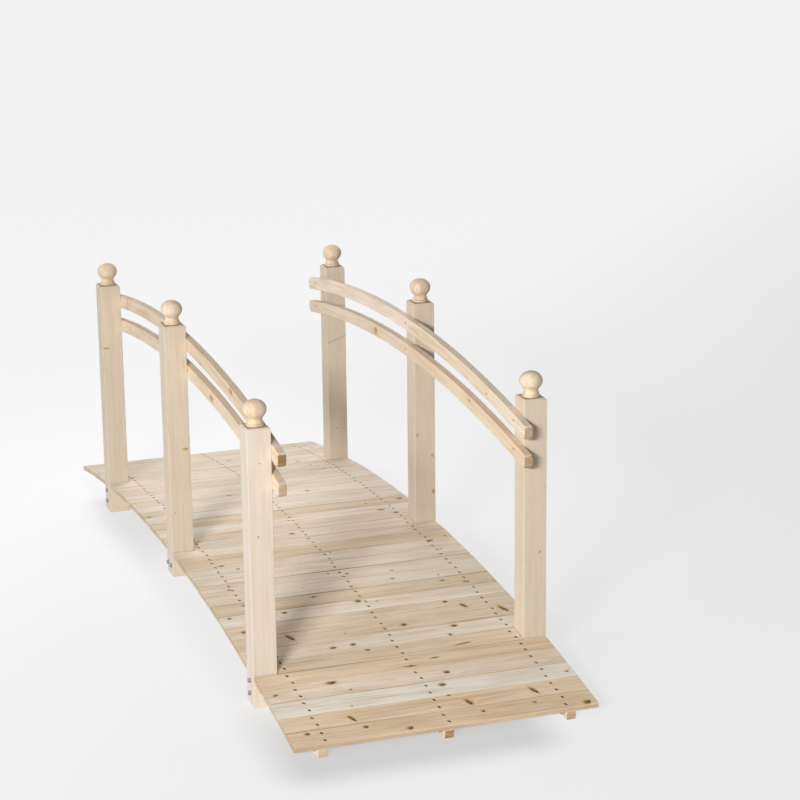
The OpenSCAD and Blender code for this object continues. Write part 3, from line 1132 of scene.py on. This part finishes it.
@dataclass
class Rails:
    """The upper and lower arched rails, each in two lengths that meet beside the mid post.

    A length may be glued up from two with a seam between them. A look is the ground colour of a
    length and the depth of the stain in its end grain.
    """

    sizes: BridgeSizes
    finish: Material
    ease: float = 2.2 * MM
    stations: int = 61
    # Steps in a rounded corner, and the share of the corner's radius past which it is end grain
    end_steps: int = 13
    end_grain_from: float = 0.25
    knot_reach: float = 60 * MM
    # Past this depth of stain, a length was cut from the middle of the log
    heart_stain: float = 0.9
    seam: float = 0.4 * MM
    seams: dict[tuple[str, Side], list[float]] = field(
        default_factory=lambda: {("upper", Side.LEFT): [-0.66]})
    looks: dict[tuple[str, Side], list[tuple[Tone, float]]] = field(default_factory=lambda: {
        ("upper", Side.LEFT): [(Tone.BROWN, 0.3), (Tone.STRAW, 0.3), (Tone.STRAW, 1.0)],
        ("lower", Side.LEFT): [(Tone.STRAW, 0.3), (Tone.STRAW, 0.2)],
        ("upper", Side.RIGHT): [(Tone.PINK, 0.3), (Tone.CREAM, 0.4)],
        ("lower", Side.RIGHT): [(Tone.CREAM, 0.3), (Tone.TAN, 0.4)]})

    def length(self, top: float, side: Side, ends: tuple[float, float], look: tuple[Tone, float],
               knots: tuple[tuple[float, float, float, float], ...], rng: np.random.Generator) -> Timber:
        """Build one length of rail: a rounded rectangle carried along the arc.

        Near a free end both edges draw in by the corner's radius less the height of its circle.

        Args:
            top: Height of the top edge at the crown.
            side: The rail's side.
            ends: Where it starts and ends along the bridge, infinite at a free end.
            look: Its ground colour and the depth of its end stain.
            knots: Its knots, as in RAIL_KNOTS.
            rng: The seeded source of small differences.

        Returns:
            The length of rail.
        """
        s = self.sizes
        free_low, free_high = (math.isinf(end) for end in ends)
        start = -s.rail_half if free_low else math.asin(ends[0] / s.rail_r)
        stop = s.rail_half if free_high else math.asin(ends[1] / s.rail_r)
        corner = s.rail_corner / s.rail_r
        curve = corner * (1 - np.cos(np.linspace(0, np.pi / 2, self.end_steps)))
        turn = np.linspace(start + corner * free_low, stop, self.stations)
        if free_low:
            turn = np.concatenate([start + curve, turn[1:]])
        if free_high:
            turn = np.concatenate([turn[turn < stop - corner], (stop - curve)[::-1]])
        inset = np.zeros_like(turn)
        for free, into_corner in ((free_low, start + corner - turn), (free_high, turn - stop + corner)):
            if free:
                depth = np.clip(into_corner * s.rail_r, 0, s.rail_corner)
                inset = np.maximum(inset, s.rail_corner - np.sqrt(s.rail_corner ** 2 - depth ** 2))
        outwards = arc_ways(turn)[0]
        y = side.value * (s.post_in_y - s.rail_t / 2)
        centre = np.array([0.0, y, top - s.rail_r]) + (s.rail_r - s.rail_h / 2) * outwards
        points = carried_rectangle(centre, ACROSS, outwards, s.rail_t / 2, s.rail_h / 2 - inset, self.ease)
        tone, stain = look
        faces, cells, cut = tube_faces(len(turn), RING, end_cut(stain))
        round_the_end = np.isin(np.arange(len(faces)) % RING, SIDE_FACES, invert=True)
        steep = (inset[1:] + inset[:-1])[cells] / 2 > self.end_grain_from * s.rail_corner
        cut[steep & round_the_end] = end_cut(stain)
        chord = points[-RING:].mean(0) - points[:RING].mean(0)
        chord /= np.linalg.norm(chord)
        axes = np.array([ACROSS, np.cross(chord, ACROSS), chord])
        pith = (rng.choice([-1, 1]) * rng.uniform(15, 60) * MM, rng.uniform(-40, 40) * MM)
        if stain > self.heart_stain:
            pith = (2 * MM, 3 * MM)
        return Timber(points, faces, cells, cut, points.mean(0), axes, pith, rng.uniform(0, 9), tone.value,
                      self.nearest(knots, top, y, (turn[1:] + turn[:-1]) / 2))

    def nearest(self, knots: tuple[tuple[float, float, float, float], ...], top: float, y: float,
                turn: np.ndarray) -> list[Knot | None]:
        """Give each stretch of a rail the knot that it is near, or none where all are far.

        Args:
            knots: The knots, as in RAIL_KNOTS.
            top: Height of the top edge at the crown.
            y: The rail's place across the bridge.
            turn: The middle angle of each stretch.

        Returns:
            One knot or None for each stretch.
        """
        s = self.sizes
        made: list[Knot | None] = [None] * len(turn)
        for x, down, half_long, half_high in knots:
            angle = math.asin(x / s.rail_r)
            outwards, along = arc_ways(angle)
            centre = np.array([0.0, y, top - s.rail_r]) + (s.rail_r - down * MM) * outwards
            knot = Knot(centre, outwards, along, half_high * MM, half_long * MM)
            for cell in np.flatnonzero(np.abs(turn - angle) * s.rail_r < self.knot_reach):
                made[cell] = knot
        return made

    def build(self) -> None:
        """Build the four rails in place of their CAD nodes, in lengths that meet at joints and glued seams.

        The last two stretches before a glued seam are dusty, which draws its line.
        """
        s = self.sizes
        for (level, side), looks in self.looks.items():
            drop = s.rail_step if level == "lower" else 0.0
            joint = side.value * s.rail_joint_x
            seams = self.seams.get((level, side), [])
            stops = [(-math.inf, 0.0), *[(x, self.seam / 2) for x in seams],
                     (joint, s.rail_joint / 2), (math.inf, 0.0)]
            rng = np.random.default_rng(Seed.RAILS + side.value + (7 if drop else 0))
            timbers = [self.length(s.rail_top - drop, side, (low + low_gap, high - high_gap), look,
                                   RAIL_KNOTS.get((level, side), ()), rng)
                       for (low, low_gap), (high, high_gap), look in zip(stops, stops[1:], looks)]
            for timber in timbers[:len(seams)]:
                timber.cut[timber.cells >= timber.cells.max() - 1] = EDGE
            name = f"rail_{level}_{side.name.lower()}"
            settle(join_timbers("fir_" + name, timbers), self.finish, [name])


# The rails' knots: place along the bridge in metres, distance below the top edge, half length
# and half height (mm).
RAIL_KNOTS: dict[tuple[str, Side], tuple[tuple[float, float, float, float], ...]] = {
    ("upper", Side.LEFT): ((0.17, 31, 8, 4), (0.465, 9, 17, 7)),
    ("lower", Side.LEFT): ((-0.641, 18, 4, 4), (0.029, 12, 10, 6), (0.275, 19, 17, 8)),
    ("upper", Side.RIGHT): ((0.62, 20, 5, 4),),
    ("lower", Side.RIGHT): ((-0.235, 18, 12, 11), (0.5, 10, 7, 4)),
}


@dataclass
class Finials:
    """The six turned balls, each over a bead, a hollow neck and a base ring."""

    sizes: BridgeSizes
    finish: Material
    ball_d: float = 56 * MM
    ball_h: float = 43 * MM
    bead_d: float = 39 * MM
    bead_h: float = 1.6 * MM
    neck_h: float = 13.5 * MM
    neck_d: float = 33.5 * MM
    base_d: float = 43.5 * MM
    base_h: float = 6 * MM
    # Height of the neck's waist as a share of the neck, and how hollow the cone under it is
    waist: float = 0.85
    cone_power: float = 1.3
    # How far the neck starts inside the base ring's edge, and how far it ends inside the bead's
    base_step: float = 1.3 * MM
    bead_step: float = 0.3 * MM
    # Height of the ball's top above its widest place, as a share of the ball
    ball_rise_share: float = 0.54
    pole_r: float = 0.15 * MM
    around: int = 72
    smooth_deg: float = 40.0

    def half_round(self, radius: float, low: float, height: float) -> np.ndarray:
        """Outline a moulding: a half circle that stands out to a radius.

        Args:
            radius: How far it stands out.
            low: Where it starts.
            height: How high it is.

        Returns:
            Points by two, radius and height.
        """
        angle = np.linspace(-np.pi / 2, np.pi / 2, 11)
        return np.stack([radius - height / 2 + height / 2 * np.cos(angle),
                         low + height / 2 + height / 2 * np.sin(angle)], axis=1)

    def outline(self) -> np.ndarray:
        """Work out the turned outline from the post's top up to the ball's top.

        The base ring and the bead are half circles, the neck a hollow cone, a power of the height,
        that meets a parabola at the waist, and the ball two quarter ellipses of one width.

        Returns:
            Points by two, radius and height.
        """
        bead_z = self.base_h + self.neck_h
        rise = self.ball_rise_share * self.ball_h
        middle = bead_z + self.ball_h - rise
        low = math.acos((self.bead_d - self.bead_h) / self.ball_d)
        drop = (middle - bead_z - self.bead_h) / math.sin(low)
        # The neck starts and ends just clear of the half circles
        t = np.linspace(0.06, 0.94, 16)
        below = self.base_d / 2 - self.base_step - self.neck_d / 2
        above = (self.bead_d - self.bead_h) / 2 - self.bead_step - self.neck_d / 2
        flare = np.where(t < self.waist, below * np.clip(1 - t / self.waist, 0, 1) ** self.cone_power,
                         above * ((t - self.waist) / (1 - self.waist)) ** 2)
        neck = np.stack([self.neck_d / 2 + flare, self.base_h + self.neck_h * t], axis=1)
        under = np.linspace(-low, 0, 14)
        over = np.linspace(0, np.pi / 2, 18)[1:]
        lower = np.stack([self.ball_d / 2 * np.cos(under), middle + drop * np.sin(under)], axis=1)
        upper = np.stack([self.ball_d / 2 * np.cos(over), middle + rise * np.sin(over)], axis=1)
        upper[-1, 0] = self.pole_r
        foot = np.array([[1 * MM, 0.0]])
        return np.concatenate([foot, self.half_round(self.base_d / 2, 0.0, self.base_h), neck,
                               self.half_round(self.bead_d / 2, bead_z, self.bead_h), lower, upper])

    def finial(self, place: Place, side: Side, rng: np.random.Generator) -> Timber:
        """Turn one finial: the outline carried round the post's middle line.

        Args:
            place: Which pair it belongs to.
            side: Its side.
            rng: The seeded source of small differences.

        Returns:
            The finial.
        """
        s = self.sizes
        outline = self.outline()
        base = np.array([place.value * s.post_x, side.value * s.post_y, s.post_top(place)])
        points = base + turned(outline, self.around)
        faces, cells, cut = tube_faces(len(outline), self.around)
        pith = (rng.uniform(-34, 34) * MM, rng.uniform(-34, 34) * MM)
        return Timber(points.reshape(-1, 3), faces, cells, cut, base, np.eye(3), pith, rng.uniform(0, 9),
                      Tone.STRAW.value)

    def build(self) -> None:
        """Build the six finials in place of their CAD nodes."""
        for place in Place:
            for side in Side:
                name = "finial_" + place.name.lower() + "_" + side.name.lower()
                rng = np.random.default_rng(Seed.FINIALS + 10 * place.value + side.value)
                made = join_timbers("fir_" + name, [self.finial(place, side, rng)], self.smooth_deg)
                settle(made, self.finish, [name])


@dataclass
class Staples:
    """The deck's fastenings: two staple crowns in each board over each joist, shot in at a slant."""

    sizes: BridgeSizes
    deck: Deck
    finish: Material
    # Places of the three rows across the bridge, and of the two crowns each side of a board's middle
    rows: tuple[float, float, float] = (-293 * MM, 3.5 * MM, 297 * MM)
    apart: float = 15.4 * MM
    half_long: float = 5.2 * MM
    half_wide: float = 2.7 * MM
    slant_deg: float = 30.0
    # How unevenly they are shot in: along the bridge and across it in mm, and in degrees
    scatter: tuple[float, float, float] = (1.1, 1.6, 7.0)
    # The crown's section: share of its half width, and height over the board in mm
    section: tuple[tuple[float, float], ...] = ((1.0, -0.6), (1.0, 0.1), (0.8, 0.18), (0.3, 0.12))
    around: int = 12
    smooth_deg: float = 35.0

    def build(self) -> None:
        """Set the crowns: a low oval bar, turned by the slant in the plane of its board."""
        s = self.sizes
        rng = np.random.default_rng(Seed.STAPLES)
        index, row, pair = (v.ravel() for v in np.meshgrid(np.arange(-s.crown, s.crown + 1), self.rows,
                                                           [-1, 1], indexing="ij"))
        outwards, tangent = arc_ways(index * s.pitch / s.arch_r)
        count = len(index)
        lift = np.array([self.deck.lift(round(number)) for number in index])
        reach = s.arch_r + s.board_t + lift
        along_mm, across_mm, lean_deg = self.scatter
        along = pair * self.apart + rng.normal(0, along_mm, count) * MM
        centres = s.arch_z * UP + reach[:, None] * outwards + along[:, None] * tangent
        centres[:, 1] = row + rng.normal(0, across_mm, count) * MM
        slant = np.radians(self.slant_deg + rng.normal(0, lean_deg, count))[:, None]
        long_way = np.cos(slant) * tangent + np.sin(slant) * ACROSS
        frames = np.stack([long_way, np.cross(outwards, long_way), outwards], axis=1)
        oval = turned(np.array(self.section), self.around) * [self.half_long, self.half_wide, 1 * MM]
        made = stamp("deck_staples", oval, frames, centres, self.smooth_deg)
        settle(made, self.finish, [])


@dataclass
class Screws:
    """The countersunk screws that hold the rails, one through each crossing of rail and post."""

    sizes: BridgeSizes
    finish: Material
    head_r: float = 3.0 * MM
    # How far a screw stands beside the post's middle line, twice that at the mid posts
    beside: float = 10 * MM
    # Depth of a screw under the rail's top edge, as a share of the rail
    down_share: float = 0.42
    # The head's section: share of its radius, and height over the rail in mm
    section: tuple[tuple[float, float], ...] = (
        (1.0, -0.8), (1.0, 0.1), (0.9, 0.2), (0.45, 0.16), (0.3, -0.4), (0.05, -0.5))
    around: int = 16
    smooth_deg: float = 35.0

    def build(self) -> None:
        """Set the screw heads: a disc nearly flush with the rail, with a small pit for its recess."""
        s = self.sizes
        place, side, drop = (v.ravel() for v in np.meshgrid([-1, 0, 1], [-1, 1], [0.0, s.rail_step],
                                                            indexing="ij"))
        x = place * (s.post_x + self.beside) + (place == 0) * side * 2 * self.beside
        z = s.rail_top - drop - s.rail_r + np.sqrt(s.rail_r ** 2 - x ** 2) - self.down_share * s.rail_h
        inwards = -side[:, None] * ACROSS
        along = np.broadcast_to(ALONG, inwards.shape)
        frames = np.stack([along, np.cross(inwards, along), inwards], axis=1)
        centres = np.stack([x, side * (s.post_in_y - s.rail_t), z], axis=1)
        head = turned(np.array(self.section) * [self.head_r, 1 * MM], self.around)
        made = stamp("rail_screws", head, frames, centres, self.smooth_deg)
        settle(made, self.finish, [])


@dataclass
class Bolts:
    """The hexagon bolts that hold the posts to the joists, with washers, nuts and thread ends."""

    sizes: BridgeSizes
    finish: Material
    bolt_d: float = 6 * MM
    washer_d: float = 12 * MM
    washer_t: float = 1.6 * MM
    washer_ease: float = 0.2 * MM
    hex_w: float = 10 * MM
    head_h: float = 4 * MM
    nut_h: float = 5 * MM
    thread_over: float = 3 * MM
    thread_pitch: float = 1 * MM
    thread_depth: float = 0.5 * MM
    tip_taper: float = 0.9 * MM
    # The chamfer that rounds a hexagon: radius at its foot and at its face, over half the hexagon's width
    rim_share: float = 1.07
    face_share: float = 0.98
    top_chamfer: float = 0.45 * MM
    low_chamfer: float = 0.3 * MM
    # Radius at which a head's flat face stops
    head_bore: float = 0.4 * MM
    # Points in a ring of the hexagons, the washers and the threads
    hex_around: int = 24
    washer_around: int = 32
    thread_around: int = 20
    smooth_deg: float = 25.0

    def hexagon(self, height: float, bore: float, both_ends: bool) -> np.ndarray:
        """Carry a hexagon up from zero, with a chamfer that rounds its corners at the top.

        The chamfer's ring is the smaller of the hexagon and a circle, point by point round the axis.

        Args:
            height: Where it ends.
            bore: Radius at which its end faces stop.
            both_ends: Whether its low face is chamfered too.

        Returns:
            Rings by points by three.
        """
        angle = np.linspace(0, 2 * np.pi, self.hex_around, endpoint=False)
        half = self.hex_w / 2
        flat = half / np.cos((angle + np.pi / 6) % (np.pi / 3) - np.pi / 6)
        circle = np.full_like(angle, self.face_share * half)
        rim = np.minimum(flat, half * self.rim_share)
        middle = np.full_like(angle, bore)
        steps = [(middle, 0.0), (circle if both_ends else flat, 0.0), *[(rim, self.low_chamfer)] * both_ends,
                 (rim, height - self.top_chamfer), (circle, height), (middle, height)]
        return np.stack([np.stack([r * np.cos(angle), r * np.sin(angle), np.full_like(angle, z)], axis=1)
                         for r, z in steps])

    def washer(self) -> np.ndarray:
        """Turn a flat ring with eased edges.

        Returns:
            Rings by points by three.
        """
        half, thick, ease, bore = self.washer_d / 2, self.washer_t, self.washer_ease, self.bolt_d / 2
        return turned(np.array([[bore, 0.0], [half - ease, 0.0], [half, ease], [half, thick - ease],
                                [half - ease, thick], [bore, thick]]), self.washer_around)

    def thread(self) -> np.ndarray:
        """Turn the thread's end as rings of two radii by turns, narrower at the tip.

        Returns:
            Rings by points by three.
        """
        z = np.arange(0, self.nut_h + self.thread_over + 0.1 * MM, self.thread_pitch / 2)
        radius = self.bolt_d / 2 - np.where(np.arange(len(z)) % 2, self.thread_depth, 0.0)
        radius[-1] = self.bolt_d / 2 - self.tip_taper
        return turned(np.stack([radius, z], axis=1), self.thread_around)

    def build(self) -> None:
        """Set the bolts of both sides in place of their CAD nodes.

        The two bolts of an end post stand one above the other, those of a mid post side by side.
        """
        s = self.sizes
        head = self.hexagon(self.head_h, self.head_bore, False)
        nut = self.hexagon(self.nut_h, self.bolt_d / 2, True)
        x = np.array([s.post_x, s.post_x, -s.post_x, -s.post_x, s.bolt_step / 2, -s.bolt_step / 2])
        lift = np.array([0.5, -0.5, 0.5, -0.5, 0.0, 0.0]) * s.bolt_step
        z = s.joist_mid(np.where(np.abs(x) > s.bolt_step, x, 0.0)) + lift
        at = np.stack([x, np.zeros(len(x)), z], axis=1)
        outer = s.deck_w / 2
        inner = s.joist_y - s.joist_t / 2
        for side in Side:
            outwards = side.value * ACROSS
            for label, rings, way, reach in (
                    ("washer", self.washer(), 1, outer), ("head", head, 1, outer + self.washer_t),
                    ("inner_washer", self.washer(), -1, inner), ("nut", nut, -1, inner - self.washer_t),
                    ("thread", self.thread(), -1, inner - self.washer_t)):
                frame_of_one = np.array([ALONG, np.cross(way * outwards, ALONG), way * outwards])
                frames = np.tile(frame_of_one, (len(x), 1, 1))
                made = stamp(f"zinc_{label}_{side.name.lower()}", rings, frames, at + outwards * reach,
                             self.smooth_deg)
                settle(made, self.finish, [f"bolts_{side.name.lower()}"])


def placed(right: np.ndarray, up: np.ndarray, back: np.ndarray, at: tuple[float, float, float]) -> Matrix:
    """Make the matrix of an object from its own directions: they and its place are the columns.

    Args:
        right: Where its X points.
        up: Where its Y points.
        back: Where its Z points.
        at: Its place.

    Returns:
        The matrix.
    """
    square = np.eye(4)
    square[:3] = np.stack([right, up, back, np.array(at)], axis=1)
    return Matrix(square.tolist())


@dataclass(frozen=True)
class Lamp:
    """One lamp of the studio. A sun only needs a direction, so its place is any point on its way."""

    name: str
    kind: str
    at: tuple[float, float, float]
    aim: tuple[float, float, float]
    energy: float
    settings: dict = field(default_factory=dict)

    def hang(self) -> None:
        """Make the lamp and turn it towards the point that it shines at."""
        data = bpy.data.lights.new(self.name, self.kind)
        data.energy = self.energy
        for key, value in self.settings.items():
            setattr(data, key, value)
        made = bpy.data.objects.new(self.name, data)
        back = np.array(self.at) - np.array(self.aim)
        back /= np.linalg.norm(back)
        side = np.cross(UP, back)
        side /= np.linalg.norm(side)
        made.matrix_world = placed(side, np.cross(back, side), back, self.at)
        bpy.context.scene.collection.objects.link(made)


# A low box from the front left casts the long shadows on the deck. Soft suns fill in from the left,
# from above and from behind, and a small box lifts the far end.
LAMPS = (
    Lamp("key", "AREA", (6.55, -4.15, 3.02), (0.1, 0.0, 0.35), 535.0,
         {"shape": "RECTANGLE", "size": 1.7, "size_y": 0.45}),
    Lamp("left", "SUN", (0.15, -1.0, 0.35), (0.0, 0.0, 0.0), 1.66,
         {"angle": math.radians(50), "color": linear("#f1f6ff")[:3]}),
    Lamp("overhead", "SUN", (0.0, 0.1, 1.0), (0.0, 0.0, 0.0), 0.157,
         {"angle": math.radians(80), "color": linear("#fff3dc")[:3]}),
    Lamp("rear", "SUN", (-0.6, 1.0, 0.05), (0.0, 0.0, 0.0), 1.6, {"angle": math.radians(40)}),
    Lamp("far_box", "AREA", (-1.6, 0.5, 2.3), (-0.7, 0.1, 0.1), 3.7,
         {"size": 1.4, "spread": math.radians(55)}),
)


@dataclass
class Stage:
    """The pale floor, the even sky, the lamps and the camera."""

    camera_at: tuple[float, float, float] = (5.778, -1.710, 2.188)
    azimuth_deg: float = 70.98
    tilt_deg: float = 15.64
    roll_deg: float = -0.65
    lens_mm: float = 105.41
    sensor_mm: float = 36.0
    floor_half: float = 60.0
    sky_strength: float = 0.03
    # How brightly the floor glows in the camera's eye, at two distances along a direction over it
    glow: tuple[float, float] = (0.73, 0.86)
    glow_from: tuple[float, float] = (-1.0, 1.6)
    glow_way: tuple[float, float, float] = (-0.70, -0.71, 0.0)
    # The soft pool of shadow on the floor: a rectangle that fades over a distance
    pool_middle: tuple[float, float] = (0.19, -0.09)
    pool_half: tuple[float, float] = (1.0, 0.25)
    pool_fade: float = 0.14
    # Its depth at the far end, in the middle and at the near end, and where along X one turns to the next
    pool_depth: tuple[float, float, float] = (0.19, 0.05, 0.25)
    pool_far: tuple[float, float] = (-0.7, 0.1)
    pool_near: tuple[float, float] = (0.75, 1.1)

    def camera(self) -> None:
        """Set the camera: it looks along the azimuth, tilted down, and turned a little about its axis."""
        azimuth, tilt, roll = (math.radians(v) for v in (self.azimuth_deg, self.tilt_deg, self.roll_deg))
        ahead = -math.sin(azimuth) * ALONG + math.cos(azimuth) * ACROSS
        forward = math.cos(tilt) * ahead - math.sin(tilt) * UP
        level = math.cos(azimuth) * ALONG + math.sin(azimuth) * ACROSS
        upright = np.cross(level, forward)
        right = math.cos(roll) * level + math.sin(roll) * upright
        up = math.cos(roll) * upright - math.sin(roll) * level
        data = bpy.data.cameras.new("camera")
        data.sensor_width = self.sensor_mm
        data.lens = self.lens_mm
        data.clip_end = 300.0
        made = bpy.data.objects.new("camera", data)
        made.matrix_world = placed(right, up, -forward, self.camera_at)
        bpy.context.scene.collection.objects.link(made)
        bpy.context.scene.camera = made

    def world(self) -> None:
        """Show an even white sky to the camera and in reflections, which hardly lights the timber."""
        world = bpy.data.worlds.new("even_white")
        world.use_nodes = True
        tree = world.node_tree
        tree.nodes.clear()
        path = add(tree, "LightPath")
        sky = add(tree, "Background", {"Color": linear("#f4f6fa"), "Strength": self.sky_strength})
        seen = add(tree, "Background", {"Color": linear("#f7f7f7"), "Strength": 1.0})
        either = add(tree, "Math", (path.outputs["Is Camera Ray"], path.outputs["Is Glossy Ray"]),
                     operation="MAXIMUM")
        mixed = add(tree, "MixShader", (either, sky, seen))
        output = add(tree, "OutputWorld", {"Surface": mixed})
        output.is_active_output = True
        bpy.context.scene.world = world

    def pool(self, tree: NodeTree, place: NodeSocket) -> Node:
        """Draw the pool of shadow under the deck, which is deeper under both ends, where the deck is low.

        It fades with the distance from a rectangle: the length of what is left of the offset from its
        middle, once its half sizes are taken off and nothing is below zero.

        Args:
            tree: The floor's node tree.
            place: The place on the floor.

        Returns:
            How dark the floor is, from 0 to 1.
        """
        offset = add(tree, "VectorMath", (place, (*self.pool_middle, 0.0)), operation="SUBTRACT")
        offset = add(tree, "VectorMath", (offset,), operation="ABSOLUTE")
        offset = add(tree, "VectorMath", (offset, (*self.pool_half, 0.0)), operation="SUBTRACT")
        offset = add(tree, "VectorMath", (offset, (0.0, 0.0, 0.0)), operation="MAXIMUM")
        gap = add(tree, "VectorMath", (offset,), operation="LENGTH").outputs["Value"]
        along = add(tree, "SeparateXYZ", (place,)).outputs["X"]
        far, mid, near = self.pool_depth
        far_part = add(tree, "MapRange", (along, *self.pool_far, far, 0.0), **SOFT)
        near_part = add(tree, "MapRange", (along, *self.pool_near, mid, near), **SOFT)
        depth = add(tree, "Math", (far_part, near_part), operation="MAXIMUM")
        return add(tree, "MapRange", (gap, 0.0, self.pool_fade, depth, 0.0), **SOFT)

    def floor(self) -> None:
        """Lay the pale floor, which the camera sees brighter than it lights the timber."""
        half = self.floor_half
        points = np.array([[-half, -half, 0.0], [half, -half, 0.0], [half, half, 0.0], [-half, half, 0.0]])
        made = link_mesh("floor", points, [(0, 1, 2, 3)], 30.0)
        material, tree, output = new_material("white_studio_floor")
        path = add(tree, "LightPath")
        lit = add(tree, "BsdfDiffuse", {"Color": linear("#e6e6e6")})
        seen = add(tree, "BsdfDiffuse", {"Color": linear("#737373")})
        place = add(tree, "TexCoord").outputs["Object"]
        away = add(tree, "VectorMath", (place, self.glow_way), operation="DOT_PRODUCT")
        glow = add(tree, "MapRange", (away.outputs["Value"], *self.glow_from, *self.glow), **SOFT)
        lift = add(tree, "Emission", {"Color": linear("#fdfdfd"), "Strength": glow})
        pale = add(tree, "AddShader", (seen, lift))
        dark = add(tree, "Emission", {"Color": linear("#000000")})
        pale = add(tree, "MixShader", (self.pool(tree, place), pale, dark))
        mixed = add(tree, "MixShader", (path.outputs["Is Camera Ray"], lit, pale))
        tree.links.new(mixed.outputs[0], output.inputs["Surface"])
        made.data.materials.append(material)

    def build(self) -> None:
        """Set the whole stage and the plain view transform."""
        self.camera()
        for lamp in LAMPS:
            lamp.hang()
        self.world()
        self.floor()
        bpy.context.scene.view_settings.view_transform = "Standard"


def main() -> None:
    """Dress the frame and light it."""
    logging.basicConfig(level=logging.INFO, format="%(name)s %(message)s")
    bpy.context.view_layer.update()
    Stage().build()
    boards = FirFinish("planed_fir_boards", late_strength=0.48, streak_strength=0.6).material()
    sawn = FirFinish("sawn_fir_joists", roughness=0.74, bump=0.3).material()
    # Posts, finials and rails are darkened all over with painted shade
    posts = FirFinish("planed_fir_posts", ring_mm=2.8, late_strength=0.24, band_strength=0.12,
                      streak_strength=0.22, painted_shade="#e3e3e3", knot_strength=0.5).material()
    turned_fir = FirFinish("turned_fir_finials", ring_mm=3.0, painted_shade="#f3f3f3", roughness=0.82).material()
    rails = FirFinish("planed_fir_rails", band_strength=0.35, painted_shade="#f3f3f3", knot_strength=0.55).material()
    zinc = ZincFinish("zinc_plated_bolts").material()
    steel = StapleFinish("resin_steel_and_slot_shade").material()
    deck = Deck(SIZES, boards)
    deck.build()
    Joists(SIZES, sawn).build()
    Posts(SIZES, posts).build()
    Rails(SIZES, rails).build()
    Finials(SIZES, turned_fir).build()
    Staples(SIZES, deck, steel).build()
    Screws(SIZES, steel).build()
    Bolts(SIZES, zinc).build()


if __name__ == "__main__":
    main()
